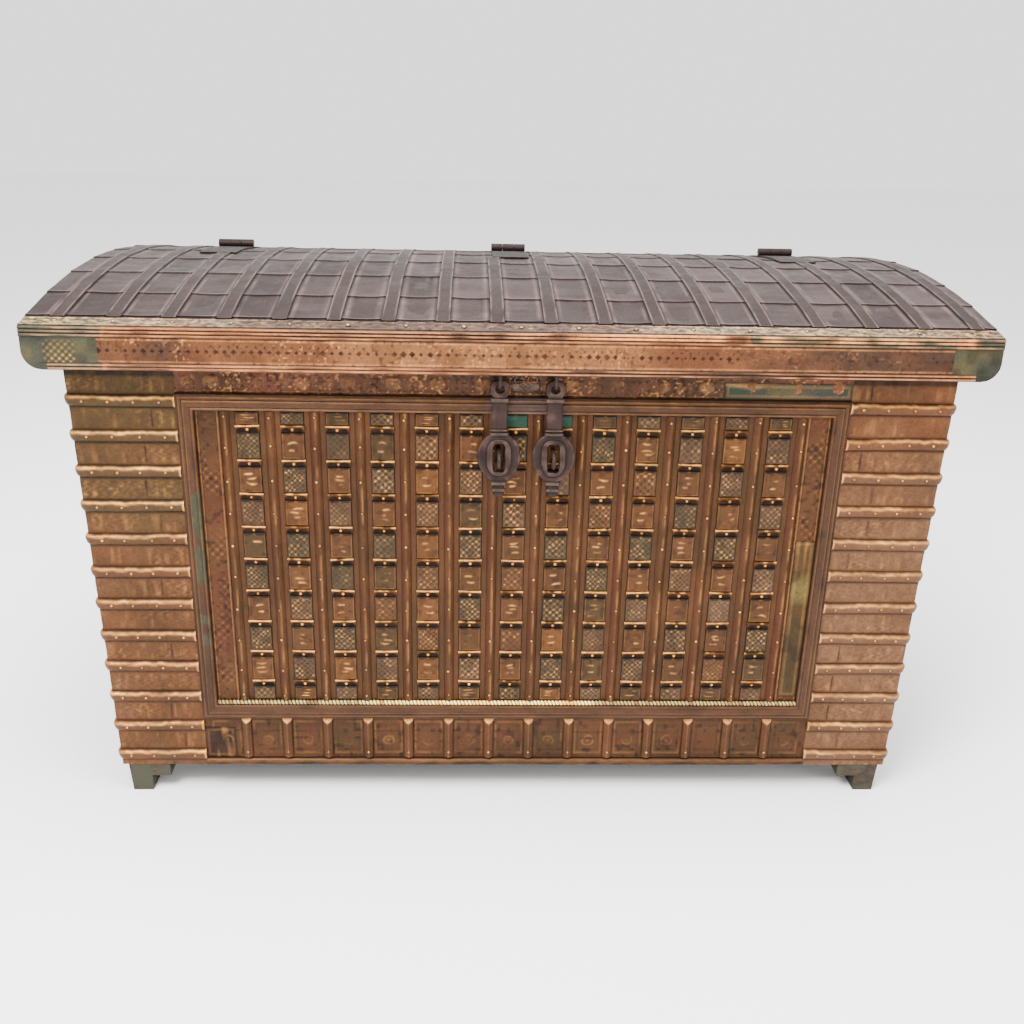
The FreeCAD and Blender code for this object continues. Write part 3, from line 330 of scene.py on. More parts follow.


# Aged embossed metal: bright sheet, brown tarnish in patches, drift to a low or high colour by the tint, paint above
# a tint of 1, and green patina in patches. The rub-and-highlight mark adds shine where it paints rubbed crests and
# highlights. The grime-and-shade mark adds a dark colour where it paints grime in hollows and shade. The height has
# pits
def agedMetalGroup():
    tree = bpy.data.node_groups.new("agedMetal", "ShaderNodeTree")
    for way, kind, names in (("INPUT", "Color", colours), ("INPUT", "Float", (*amounts, *plainMarks)),
                             ("INPUT", "Vector", ("place",)), ("OUTPUT", "Color", ("color",)),
                             ("OUTPUT", "Float", ("roughness", "height"))):
        for name in names:
            tree.interface.new_socket(name, in_out=way, socket_type="NodeSocket" + kind)
    given = tree.nodes.new("NodeGroupInput").outputs
    times, plus, less, spread, mix, cloud = nodeTools(tree)
    place, scale, tint = given["place"], given["scale"], given["tint"]
    broad = cloud(place, scale, 5, 0.62)
    fine = cloud(place, times(scale, 7.0), 6, 0.7)
    speck = cloud(place, times(scale, 34.0), 3, 0.6)
    drift = cloud(place, times(scale, 0.37), 4, 0.55)
    blotch = plus(times(broad, 0.6), times(fine, 0.4))
    tarnish = spread(less(blotch, less(0.86, times(given["tarnishAmount"], 0.7))), -0.12, 0.12)
    base = mix(tarnish, given["bright"], given["tarnish"])
    base = mix(spread(tint, 0.42, 0.1, 0.0, 0.85), base, given["low"])
    base = mix(spread(tint, 0.58, 0.9, 0.0, 0.85), base, given["high"])
    base = mix(spread(tint, 1.4, 1.6), base, given["paint"])
    base = mix(1.0, base, spread(fine, 0.3, 0.7, 0.66, 1.34), "MULTIPLY")
    base = mix(1.0, base, spread(speck, 0.3, 0.7, 0.8, 1.22), "MULTIPLY")
    field = plus(times(drift, 0.65), times(fine, 0.35))
    patina = spread(less(field, less(0.84, times(given["patinaAmount"], 0.7))), -0.06, 0.1)
    base = mix(patina, base, given["patina"])
    rub = times(times(given["rub"], given["rubAmount"]), spread(fine, 0.35, 0.65, 0.35, 1.0))
    base = mix(rub, base, given["shine"])
    soilAndShade = times(times(given["dirt"], given["grimeAmount"]), spread(fine, 0.25, 0.6, 0.55, 1.0))
    dull = plus(times(tarnish, 0.12), times(patina, 0.2))
    fill(tree, tree.nodes.new("NodeGroupOutput"), {
        "color": mix(soilAndShade, base, given["grime"]),
        "roughness": less(plus(spread(fine, 0.3, 0.7, 0.34, 0.52), dull), times(rub, 0.1)),
        "height": plus(times(speck, 0.35), times(fine, 0.65))})
    return tree


agedMetal = agedMetalGroup()


# A new material with its tree, its shader and the place of the shaded point on the piece
def newMaterial(name):
    material = bpy.data.materials.new(name)
    material.use_nodes = True
    tree = material.node_tree
    return material, tree, tree.nodes["Principled BSDF"], addNode(tree, "ShaderNodeTexCoord", {}).outputs["Object"]


# Gives a shader its colour, roughness, sheen and a bump from a height
def finishShader(tree, shader, colour, roughness, sheen, height, strength, distance):
    bump = addNode(tree, "ShaderNodeBump", {"Height": height, "Strength": strength, "Distance": distance})
    fill(tree, shader, {"Base Color": colour, "Roughness": roughness, "Specular IOR Level": sheen,
                        "Normal": bump.outputs["Normal"]})


# A metal made of the aged group: its marks come from the mesh, its metal share and bump from the settings
def metalMaterial(name, settings):
    material, tree, shader, place = newMaterial(name)
    inputs = {colour: tone(*settings[colour]) for colour in colours}
    inputs |= {amount: settings[amount] for amount in amounts}
    for mark in plainMarks:
        inputs[mark] = addNode(tree, "ShaderNodeAttribute", {}, attribute_name=mark).outputs["Fac"]
    aged = addNode(tree, "ShaderNodeGroup", inputs | {"place": place}, node_tree=agedMetal).outputs
    finishShader(tree, shader, aged["color"], aged["roughness"], settings["sheen"], aged["height"], settings["bump"],
                 ageing["pitDepth"])
    shader.inputs["Metallic"].default_value = settings["metal"]
    return material


# What all the metals share, unless one of them says otherwise
ageing = {"grime": (44, 26, 13), "shine": (244, 222, 190), "paint": (76, 116, 98), "grimeAmount": 0.9,
          "rubAmount": 0.9, "tarnishAmount": 0.5, "patinaAmount": 0.2, "scale": 9, "bump": 0.5, "metal": 0.4,
          "sheen": 0.16, "pitDepth": 1.2 * mm}


# Settings of one metal: its slot in the record, its five colours, and what differs from the rest
def metal(slot, bright, tarnish, patina, low, high, **others):
    return {**ageing, "slot": slot, "bright": bright, "tarnish": tarnish, "patina": patina, "low": low, "high": high,
            **others}


metals = {
    "postGold": metal("post_copper", (166, 126, 86), (128, 94, 62), (124, 110, 80), (130, 106, 70), (168, 135, 108),
                      patinaAmount=0.15, scale=7),
    "panelBronze": metal("panel_copper", (146, 108, 72), (110, 78, 48), (108, 102, 76), (118, 92, 54), (134, 84, 56)),
    # Ridges: a near-black grime-and-shade colour at nearly full strength and little sheen, for the painted shadow
    # under their lips
    "ridgeBronze": metal("panel_copper", (150, 112, 72), (118, 84, 50), (108, 104, 76), (112, 92, 52), (134, 84, 56),
                         grime=(34, 18, 9), grimeAmount=0.98, sheen=0.06, patinaAmount=0.1, bump=0.4),
    "frameCopper": metal("frame_copper", (138, 104, 77), (112, 82, 59), (118, 108, 84), (122, 124, 100),
                         (130, 108, 104), patinaAmount=0.25, rubAmount=0.6, scale=6, bump=0.45),
    "friezeRed": metal("dark_copper", (161, 124, 99), (131, 94, 71), (134, 114, 92), (133, 104, 84), (170, 123, 101),
                       tarnishAmount=0.6, rubAmount=0.75, scale=11, bump=0.7),
    "latticeGrey": metal("lattice_metal", (142, 120, 96), (108, 86, 64), (104, 102, 86), (108, 94, 70),
                         (136, 100, 66), grime=(40, 24, 14), patinaAmount=0.25, scale=12),
    "figuredCopper": metal("figured_metal", (146, 108, 72), (120, 86, 54), (112, 100, 72), (118, 94, 62),
                           (156, 118, 74), patinaAmount=0.15, scale=11),
    "railOrange": metal("rail_copper", (178, 136, 102), (148, 106, 76), (144, 118, 92), (109, 85, 70),
                        (190, 152, 118), shine=(236, 214, 186), grime=(60, 26, 12), paint=(124, 122, 102),
                        grimeAmount=0.95, patinaAmount=0.15, scale=8),
    "ropeBrass": metal("bright_brass", (204, 180, 146), (146, 120, 90), (134, 122, 94), (134, 108, 78),
                       (242, 222, 184), shine=(252, 242, 220), tarnishAmount=0.4, rubAmount=1, scale=12, bump=0.4),
    "patinaGreen": metal("green_patina", (126, 127, 112), (101, 101, 86), (110, 122, 106), (99, 112, 95),
                         (150, 140, 108), grime=(50, 46, 32), patinaAmount=0.5),
    "lidPlum": metal("lid_metal", (126, 106, 103), (98, 80, 77), (112, 100, 92), (92, 73, 70), (136, 121, 119),
                     sheen=0.1, grime=(40, 28, 30), shine=(206, 192, 186), rubAmount=0.75, scale=6, bump=0.6),
    "borderGrey": metal("lid_metal", (148, 128, 118), (118, 98, 90), (132, 122, 110), (118, 98, 92), (172, 162, 146),
                        grime=(56, 38, 30), shine=(232, 222, 200), paint=(134, 134, 112), tarnishAmount=0.55,
                        patinaAmount=0.3, bump=0.6),
    "rustIron": metal("iron", (122, 96, 88), (84, 60, 54), (100, 70, 58), (72, 52, 48), (150, 130, 120),
                      grime=(30, 20, 18), shine=(172, 148, 138), tarnishAmount=0.6, patinaAmount=0.3, rubAmount=0.7,
                      scale=24, bump=0.8),
    "paleIron": metal("iron", (158, 140, 130), (120, 100, 92), (110, 84, 70), (90, 70, 64), (176, 160, 150),
                      grime=(36, 24, 22), shine=(210, 196, 186), patinaAmount=0.25, rubAmount=0.7, scale=24,
                      bump=0.7),
    "oliveSheet": metal("green_patina", (140, 114, 68), (110, 86, 50), (112, 108, 70), (104, 84, 50), (168, 150, 106),
                        patinaAmount=0.25, rubAmount=0.6, scale=7),
    "darkPatch": metal("dark_copper", (98, 66, 46), (70, 46, 32), (84, 72, 54), (60, 38, 26), (120, 84, 60),
                       tarnishAmount=0.6, patinaAmount=0.25, rubAmount=0.5, scale=8, bump=0.6),
}
finishes = {name: metalMaterial(name, settings) for name, settings in metals.items()}


# Worn wood: long rings stretched along the plank, fine dark grain lines and paint left in patches; where planks are
# given, a dark joint at each multiple of their width up the wall and a shade of its own for each plank
def woodMaterial(name, settings):
    material, tree, shader, place = newMaterial(name)
    times, plus, less, spread, mix, cloud = nodeTools(tree)
    stretched = addNode(tree, "ShaderNodeMapping", {"Vector": place, "Scale": settings["stretch"]}).outputs["Vector"]
    grain = cloud(stretched, settings["grain"], 8, 0.65)
    blotch = cloud(place, settings["blotch"], 5, 0.6)
    fine = cloud(stretched, settings["grain"] * 6, 6, 0.7)
    wood = mix(spread(grain, 0.35, 0.65), tone(*settings["light"]), tone(*settings["dark"]))
    wood = mix(1.0, wood, spread(fine, 0.3, 0.7, 0.62, 1.3), "MULTIPLY")
    wood = mix(1.0, wood, spread(blotch, 0.3, 0.7, 0.7, 1.2), "MULTIPLY")
    chips = plus(times(blotch, 0.55), times(grain, 0.45))
    left = spread(less(chips, 1 - settings["paintAmount"]), -0.03, 0.03)
    wood = mix(left, wood, tone(*settings["paint"]))
    joint = 1.0
    if "planks" in settings:
        level = addNode(tree, "ShaderNodeSeparateXYZ", {0: place}).outputs["Z"]
        rows = mathNode(tree, "DIVIDE", level, settings["planks"])
        fromMiddle = mathNode(tree, "ABSOLUTE", less(mathNode(tree, "FRACT", rows), 0.5))
        joint = spread(fromMiddle, 0.484, 0.494, 1.0, 0.0)
        plank = mathNode(tree, "FLOOR", rows)
        shade = addNode(tree, "ShaderNodeTexWhiteNoise", {"W": plank}, noise_dimensions="1D")
        wood = mix(1.0, wood, spread(shade.outputs["Value"], 0.0, 1.0, 0.75, 1.25), "MULTIPLY")
        wood = mix(joint, tone(*settings["gap"]), wood)
    height = plus(times(grain, 0.4), times(fine, 0.3))
    height = plus(times(left, 0.3), times(height, joint))
    finishShader(tree, shader, wood, spread(grain, 0.3, 0.7, 0.62, 0.86), 0.2, height, settings["bump"], 1.5 * mm)
    return material


teak = {"stretch": (0.5, 9, 9), "grain": 9.0, "blotch": 4.0, "light": (128, 92, 62), "dark": (84, 57, 38),
        "paint": (100, 76, 54), "gap": (24, 16, 12), "paintAmount": 0.35, "bump": 0.7}
woods = {
    "oldTeak": teak,
    "wallTeak": {**teak, "planks": 0.19},
    "endTeak": {**teak, "stretch": (9, 0.5, 9)},
    "endWallTeak": {**teak, "stretch": (9, 0.5, 9), "planks": 0.19},
    "footPaint": {"stretch": (6, 18, 18), "grain": 5.0, "blotch": 22.0, "light": (132, 116, 94), "dark": (78, 64, 50),
                  "paint": (121, 119, 100), "paintAmount": 0.5, "bump": 0.8},
}
finishes |= {name: woodMaterial(name, settings) for name, settings in woods.items()}
print("materials ready:", len(finishes))


# Corner posts: embossed plates between rolled bands, on the front and round both ends

postPlates = {"step": 2.6 * mm, "relief": 0.25 * mm, "dent": 0.9 * mm, "scroll": 17 * mm, "strip": 17 * mm,
              "seams": (28 * mm, 60 * mm), "seamDeep": 0.9 * mm}
postBands = {"corner": 7 * mm, "sag": 1.3 * mm, "frontNails": 4, "endNailPitch": 62 * mm, "nail": 2.3 * mm,
             "nailHeight": 1.7 * mm}
bandLows, bandHighs = solidBoxes("post_bands")
bandLevels = np.unique(np.round((bandLows[:, 2] + bandHighs[:, 2]) / 2, 4))
bandHeight = np.median(bandHighs[:, 2] - bandLows[:, 2])
stileInner = np.abs(np.stack((bandLows[:, 0], bandHighs[:, 0]))).min()
bandProud = np.abs(np.stack((bandLows[:, 0], bandHighs[:, 0]))).max() - halfAt(bandLevels.max()) - sheetGauge


# Colour drift of the posts: olive at the top of the left one, plain below, pink copper on the right one
def postTint(side, height, along):
    drift = 0.16 * noise(along, height, 0.07, 17 + side)
    if side < 0:
        return 0.56 - 0.42 * rise(height, 0.38, 0.6) + drift
    return 0.86 - 0.3 * rise(height, 0.6, 0.74) + drift


# Relief of a post plate: rows of small worn scrolls, an upright seam in most plates, dents, grime and painted shade
# along the bands, and a painted shadow under the lid rail
def postRelief(along, height, seed):
    nearBand = np.min(np.abs(height[..., None] - bandLevels), -1)
    row = np.searchsorted(bandLevels, height)
    draw = np.random.default_rng(seed)
    seamPlaces = draw.uniform(*postPlates["seams"], len(bandLevels) + 1)
    seamThere = draw.uniform(0, 1, len(bandLevels) + 1) > 0.3
    bent = along + 5 * mm * noise(along, height, 0.02, seed + 14)
    wave = np.sin(tau * bent / postPlates["scroll"] + 1.5 * np.sin(tau * height / postPlates["scroll"]))
    scroll = wave * np.cos(tau * (height + 0.3 * (bent - along)) / (postPlates["scroll"] * 0.8))
    window = rise(nearBand, bandHeight * 0.55, bandHeight * 0.9)
    worn = patches(along, height, 0.045, seed + 9, -0.3, 0.6)
    seam = bell(along - seamPlaces[row], 1.5 * mm) * seamThere[row] * window
    out = postPlates["relief"] * scroll * window * worn + postPlates["dent"] * dents(along, height, seed) * window
    out = out - postPlates["seamDeep"] * seam + 0.5 * mm * (along < seamPlaces[row]) * seamThere[row] * window
    # Grime and painted shade along the bands, grime in the seam and in hollows of the scrolls
    dirt = 0.8 * (1 - rise(nearBand, bandHeight * 0.5, bandHeight * 0.66)) + seam + 0.2 * worn * (scroll < -0.35)
    # Painted shadow of the lid rail: the strip along the top of each post is painted dark
    dirt = dirt + rise(height, rimLevel - postPlates["strip"] - 2 * mm, rimLevel - postPlates["strip"])
    flecks = patches(along, height, 0.005, seed + 12, 0.4, 0.9) * worn
    streaks = patches(along, height * 0.2, 0.006, seed + 15, 0.2, 0.9)
    pits = patches(along, height, 0.005, seed + 16, 0.5, 0.9)
    dirt = dirt + (0.3 * pits + 0.15 * streaks) * window
    rub = 0.06 * scroll * worn + 0.14 * flecks + 0.1 * patches(along, height * 0.2, 0.006, seed + 17, 0.2, 0.9)
    return out, dirt, rub * window


# Sheets of both posts: over the front stile out to the corner, and over the whole end back to its rear edge
def postPlatePieces():
    batches = []
    for side in (-1, 1):
        up = lines(0, frontSlope, postPlates["step"])[:, None]
        height = footLevel + up * upwards[2]
        share = np.linspace(0, 1, int((halfTop - stileInner) / postPlates["step"]))[None, :]
        along = share * (halfAt(height) - stileInner)
        out, dirt, rub = postRelief(along, height, 11 + side)
        batches.append(sheetRings(onFront, side * (stileInner + along), up, sheetGauge + out, 0.0,
                                  dirt=dirt, rub=rub, tint=postTint(side, height, along)))
        height = lines(footLevel, rimLevel, postPlates["step"])[:, None]
        share = np.linspace(0, 1, int((bodyBack - frontTop) / (postPlates["step"] * 1.4)))[None, :]
        along = share * (bodyBack - frontAt(height) + sheetGauge)
        out, dirt, rub = postRelief(along, height, 31 + side)

        def onEnd(along, height, out, side=side):
            return np.stack((side * (halfAt(height) + out), bodyBack - along, height), -1)

        batches.append(sheetRings(onEnd, along, height, sheetGauge + out, 0.0, dirt=dirt, rub=rub,
                                  tint=postTint(side, height, along)))
    addPiece("postPlates", batches, "postGold", "post_sheets", "end_sheets")


# A band is carried along the front, round the corner and along the end: places, outward directions and run
def bandRoute(side, level):
    half, front, corner = halfAt(level) + sheetGauge, frontAt(level) - sheetGauge, postBands["corner"]
    ahead = lines(stileInner, half - corner, 4 * mm)
    turn = np.linspace(0, pi / 2, 5)[1:-1]
    along = lines(front + corner, bodyBack, 9 * mm)
    x = np.concatenate((ahead, half - corner + corner * np.sin(turn), np.full(len(along), half)))
    y = np.concatenate((np.full(len(ahead), front), front + corner - corner * np.cos(turn), along))
    nx = np.concatenate((0 * ahead, np.sin(turn), 0 * along + 1))
    ny = np.concatenate((0 * ahead - 1, -np.cos(turn), 0 * along))
    run = np.concatenate(([0], np.cumsum(np.hypot(np.diff(x), np.diff(y)))))
    return x * side, y, nx * side, ny, run


# Section of a rolled band from its upper edge (0) to its lower one (1): a steep shoulder above, a slow fall below
def rolled(share):
    return np.interp(share, (0, 0.06, 0.16, 0.3, 0.45, 0.75, 0.92, 1), (0, 0.5, 0.86, 1, 0.96, 0.76, 0.42, 0))


# Bands: a section set square to the route at each of its places, leaning with the walls, with nails on its crest
def postBandPieces():
    batches, centres, normals = [], [], []
    share = np.linspace(0, 1, 15)[None, :]
    for side in (-1, 1):
        for number, level in enumerate(bandLevels):
            x, y, nx, ny, run = bandRoute(side, level)
            seed = 100 + number * 2 + (side > 0)
            size = np.clip(0.94 + 0.1 * dents(run, 0, seed, 0.05), 0.8, 1)[:, None]
            sag = postBands["sag"] * noise(run, 0, 0.11, seed + 5)[:, None]
            out = bandProud * 0.98 * rolled(share) * size
            out = out - 0.5 * mm * np.abs(dents(run[:, None], share * 0.02, seed + 7, 0.02)) * rolled(share)
            up = level + sag + bandHeight * (0.5 - share)
            leanBack = (frontAt(up) - frontAt(level)) * (-ny)[:, None]
            leanSide = (halfAt(up) - halfAt(level)) * np.abs(nx)[:, None]
            points = np.stack((x[:, None] + nx[:, None] * (out + leanSide), y[:, None] + ny[:, None] * out + leanBack,
                               up + 0 * out), -1)
            # Painted highlight along the upper slope, where the light from above falls, with a ragged edge and patchy
            # strength like rubbed metal
            ragged = 0.06 * noise(run, 0, 0.016, seed + 3)[:, None] + 0.05 * noise(run, 0, 0.006, seed + 4)[:, None]
            rub = bell(share - 0.19 + ragged, 0.1) * (0.8 + 0.35 * noise(run, 0, 0.03, seed)[:, None])
            rub = rub * (0.75 + 0.35 * noise(run[:, None], share * 0.03, 0.006, seed + 6))
            rub = np.maximum(rub, 0.9 * (run < mm)[:, None])
            # Painted shade: a dark line along the lower edge and a darker lower face; a thin dark line of grime and
            # painted shade along the upper edge
            dirt = rise(share, 0.82, 0.92) + 1 - rise(share, 0, 0.07) + 0.12 * rise(share, 0.36, 0.6)
            tint = postTint(side, up, run[:, None]) - 0.06
            batches.append(batch(points, rub=rub, dirt=dirt, tint=tint))
            frontRun = halfAt(level) - stileInner
            frontSpots = frontRun * (np.arange(postBands["frontNails"]) + 0.55) / (postBands["frontNails"] + 0.1)
            endSpots = np.arange(frontRun + 0.05, run[-1] - 0.02, postBands["endNailPitch"])
            spots = np.concatenate((frontSpots, endSpots))
            spots = spots + 2.5 * mm * noise(spots, 0, 0.03, seed)
            nearest = np.abs(run[None, :] - spots[:, None]).argmin(1)
            centres.append(points[nearest, 7])
            normals.append(np.stack((nx[nearest], ny[nearest], -0.05 + 0 * nx[nearest]), -1))
    heads = nailBatch(np.concatenate(centres), np.concatenate(normals), postBands["nail"], postBands["nailHeight"], 5)
    addPiece("postBands", batches + [heads], "postGold", "post_bands")


postPlatePieces()
postBandPieces()


# Frieze under the lid: worn hearts and rosettes between two lines, and the green strip over its right part

frieze = {"step": 1.5 * mm, "relief": 1.2 * mm, "pitch": 71 * mm, "heart": 10 * mm, "dent": 1.0 * mm,
          "first": 18 * mm, "rosette": 11 * mm}


# A heart of a size: the cube of (x squared + y squared - 1), less x squared times y cubed, is below 0 inside it
def heartAt(x, y, size):
    x, y = x / size, (y / size + 0.1) * 1.1
    return rise(-((x ** 2 + y ** 2 - 1) ** 3 - x ** 2 * y ** 3), -0.25, 0.1) * (np.abs(x) < 1.4) * (np.abs(y) < 1.5)


# A rosette: a boss, and eight petals on a ring
def rosetteAt(x, y, size):
    radius, angle = np.hypot(x, y), np.arctan2(y, x)
    return bell(radius, size * 0.28) + bell(radius - size * 0.75, size * 0.2) * (0.5 + 0.5 * np.cos(8 * angle))


# Frieze: hearts and rosettes in turn, leaves between, and a line above and below, all fading where it is worn
def friezePiece():
    low, high = frontBox("frieze_sheet")
    across, up = grid(low, high, frieze["step"] * 1.15, frieze["step"])
    level = (up - low[1]) / (high[1] - low[1])
    middle = up - (low[1] + (high[1] - low[1]) * 0.42)
    pitch = frieze["pitch"]
    hearts = heartAt((across + pitch / 2 - frieze["first"]) % pitch - pitch / 2, middle, frieze["heart"])
    flowers = rosetteAt((across - frieze["first"]) % pitch - pitch / 2, middle, frieze["rosette"])
    leaves = bell(fromNearest(across, pitch / 4, frieze["first"] / 2), 3 * mm) * bell(level - 0.42, 0.16) * 0.7
    border = bell(level - 0.08, 0.035) + 0.8 * bell(level - 0.8 - 0.04 * np.abs(np.sin(across / (5 * mm))), 0.035)
    wear = rise(noise(across, up, 0.05, 71) + 0.5 * noise(across, up, 0.012, 74), -0.5, 0.4)
    pattern = np.clip(hearts + flowers + leaves + border, 0, 1) * (0.2 + 0.8 * wear)
    out = sheetGauge + frieze["relief"] * pattern + frieze["dent"] * dents(across, up, 72, 0.03)
    flecks = patches(across, up, 0.0035, 75, 0.45, 0.8) * (0.25 + 0.75 * np.maximum(wear, pattern))
    pits = patches(across, up, 0.005, 73, 0.3, 0.7)
    # The top fifth is painted dark as the shadow under the lid rail; pits and patches between the pattern are grime
    dirt = 0.7 * pits + 0.3 * (1 - pattern) * patches(across, up, 0.02, 76, -0.3, 0.5) + 0.9 * rise(level, 0.8, 1)
    tint = 0.5 + 0.45 * noise(across, up, 0.08, 77) - 0.25 * rise(np.abs(across - 16 * mm), 0.09, 0.05)
    rings = sheetRings(onFront, across, up, out, 0.0, dirt=dirt, rub=0.12 * pattern + 0.5 * flecks, tint=tint)
    addPiece("frieze", [rings], "friezeRed", "frieze_sheet")


# A plain sheet laid over another: slightly wavy, its edges pressed down, with a few upright or level scratches
def plainStrip(name, node, finish, seed, step=3 * mm, wave=0.8 * mm):
    low, high = frontBox(node)
    across, up = grid(low, high, step)
    edge = np.minimum(np.minimum(across - low[0], high[0] - across), np.minimum(up - low[1], high[1] - up))
    longer = (high - low)[0] > (high - low)[1]
    streak = noise(across * (0.08 if longer else 1), up * (1 if longer else 0.08), 0.006, seed + 6)
    out = high[2] + wave * dents(across, up, seed) * rise(edge, 0, 8 * mm) - wave * 0.6
    dirt = 0.9 * (1 - rise(edge, 0, 4 * mm)) + 0.6 * patches(across, up, 0.02, seed + 4, 0.25, 0.6)
    rub = 0.16 * bell(edge - 5 * mm, 2 * mm) + 0.4 * rise(streak, 0.4, 0.9)
    tint = 0.5 + 0.5 * noise(across, up, 0.07, seed + 5)
    rings = sheetRings(onFront, across, up, out, low[2], dirt=dirt, rub=rub, tint=tint)
    addPiece(name, [rings], finish, node)


friezePiece()
plainStrip("friezePatch", "frieze_patch", "patinaGreen", 81)
plainStrip("sidePatch", "side_patch", "oliveSheet", 85)
plainStrip("lowerBandPatch", "lower_band_patch", "darkPatch", 89)


# Moulded frame: a broad low swelling with three grooves, the ends mitred

frameMoulding = {"step": 7 * mm, "wave": 0.5 * mm, "grooves": (0.12, 0.36, 0.8), "points": 29}


# Sides of the frame: lines along each run from mitre to mitre, so they grow shorter towards the inner edge
def framePieces():
    low, high = frontBox("frame_bottom")
    outerHalf, footUp, width, proud = high[0], low[1], high[1] - low[1], high[2]
    topUp = frontBox("frame_top")[1][1]
    base = 0.35 * proud
    share = np.linspace(0, 1, frameMoulding["points"])[None, :]
    groove = sum(bell(share - place, 0.035) for place in frameMoulding["grooves"])
    crest = sum(bell(share - place - 0.075, 0.03) for place in frameMoulding["grooves"])
    swelling = (0.8 + 0.2 * np.sin(pi * share)) * rise(share, -0.04, 0.06) * rise(1 - share, -0.04, 0.06)
    names = {"frameBottom": "frame_bottom", "frameRight": "frame_right", "frameTop": "frame_top",
             "frameLeft": "frame_left"}
    for side, (name, node) in enumerate(names.items()):
        length = 2 * outerHalf if side % 2 == 0 else topUp - footUp
        inward = share * width
        t = np.linspace(0, 1, int(length / frameMoulding["step"]))[:, None]
        along = inward + t * (length - 2 * inward)
        depth = 0.5 if name == "frameTop" else 0.3
        section = base + (proud - base) * np.clip(swelling - 0.6 * depth * groove, 0, 1)
        wave = frameMoulding["wave"] * dents(along, inward, 200 + side, 0.09)
        out = np.minimum(section + wave - 0.3 * frameMoulding["wave"], proud)
        corners = {0: (-outerHalf + along, footUp + inward), 1: (outerHalf - inward, footUp + along),
                   2: (outerHalf - along, topUp - inward), 3: (-outerHalf + inward, topUp - along)}
        across, up = corners[side]
        ragged = 0.7 + 0.3 * noise(along, inward, 0.05, 210 + side)
        edges = 1 - rise(np.minimum(share, 1 - share), 0.0, 0.035)
        dirt = np.clip((depth * groove + edges) * ragged, 0, 1)
        dirt = dirt + 0.4 * patches(along * 0.4, inward, 0.012, 230 + side, 0.3, 0.8)
        dirt = dirt + (0.16 if side % 2 else 0)
        tint = 0.5 + 0.12 * noise(along, inward, 0.12, 220 + side)
        if name == "frameLeft":
            flakes = rise(noise(along, inward, 0.018, 240) + 0.6 * noise(along, inward, 0.006, 241), -0.7, 0.3)
            tint = tint - 0.6 * rise(topUp - up, 0.13, 0.19) * rise(share, 0.3, 0.5) * rise(up, 0.2, 0.3) * flakes
        if name == "frameTop":
            tint = tint + 0.5 * rise(-np.abs(across - 14 * mm), -0.075, -0.045)
        rings = sheetRings(onFront, across, up, out, 0.0, dirt=dirt, rub=0.6 * depth * crest * ragged, tint=tint)
        addPiece(name, [rings], "frameCopper", node)


framePieces()


# Twisted rope along the foot of the panel: a circle whose radius swells once round it, turning as it runs

rope = {"lay": 6.4 * mm, "depth": 0.34, "around": 14, "step": 0.9 * mm}


# The radius is 1 less the depth, plus the depth times the swell, which goes once round for each lay of the rope
def ropePiece():
    low, high = frontBox("rope_moulding")
    radius = (high[1] - low[1]) / 2
    along = lines(low[0], high[0], rope["step"])[:, None]
    turn = np.arange(rope["around"])[None, :] * tau / rope["around"]
    swell = np.abs(np.cos(turn / 2 - pi * along / rope["lay"]))
    size = radius * (1 - rope["depth"] + rope["depth"] * swell ** 0.7)
    points = onFront(along, low[1] + radius + size * np.cos(turn), low[2] + radius + size * np.sin(turn))
    bright = rise(along, -0.42, -0.05) * rise(-along, -0.17, -0.13)
    rub = rise(swell, 0.4, 0.75) * (0.35 + 0.65 * bright) * patches(along, 0, 0.007, 250, -0.9, 0.2)
    rings = batch(points, rub=rub, dirt=1 - rise(swell, 0.15, 0.6), tint=0.35 + 0.6 * bright)
    addPiece("ropeMoulding", [rings], "ropeBrass", "rope_moulding")


ropePiece()


# Panel: battens with nails, short ridges pinched at their nail, and the small plates

battens = {"step": 5 * mm, "around": 15, "crest": 0.14, "wave": 0.6 * mm, "nail": 2.0 * mm, "nailHeight": 1.6 * mm,
           "nailBelow": 22 * mm, "nailAbove": 20 * mm}
ridges = {"along": 25, "around": 11, "pinch": 0.3, "nail": 2.4 * mm, "nailHeight": 1.9 * mm}
plates = {"rows": 31, "columns": 31, "relief": 1.0 * mm}
panelLow, panelHigh = frontBox("panel_sheet")


# Batten: two slopes that meet in a crest a little right of the middle, with a painted highlight along the crest; its
# left flank is painted darker and redder as shade
def battenBatch(lows, highs, seed):
    rings = []
    for number, (low, high) in enumerate(zip(lows, highs)):
        up = lines(low[1], high[1], battens["step"])[:, None]
        phi = np.linspace(0, pi, battens["around"])[None, :]
        side = -np.cos(phi)
        middle, half, proud = (low[0] + high[0]) / 2, (high[0] - low[0]) / 2, high[2] - low[2]
        wave = battens["wave"] * dents(up, 0, seed + number, 0.07)
        size = 0.9 + 0.1 * noise(up, phi, 0.02, seed + 40 + number)
        across = middle + wave * 0.6 + half * side
        crest = battens["crest"]
        reach = np.where(side < crest, (crest - side) / (1 + crest), (side - crest) / (1 - crest))
        out = low[2] + proud * size * (1 - reach ** 1.25)
        # Painted shade: the left flank darker here and redder in the tint below, the outer edges dark with grime and
        # painted shade; painted highlight: a thin patchy line along the crest
        dirt = 0.55 * rise(np.abs(side), 0.86, 0.98) + 0.2 * rise(-side, 0.1, 0.6)
        rub = 0.3 * bell(side - crest, 0.12) * patches(up, 0, 0.02, seed + 80 + number, -0.4, 0.7)
        tint = 0.5 + 0.36 * rise(-side, -0.1, 0.45) * patches(up * 0.3, number, 0.02, seed + 8, -0.6, 0.5)
        tint = tint + 0.2 * noise(up * 0.3, number, 0.06, seed)
        rings.append(batch(onFront(across, up, out), dirt=dirt, rub=rub, tint=tint))
    return rings
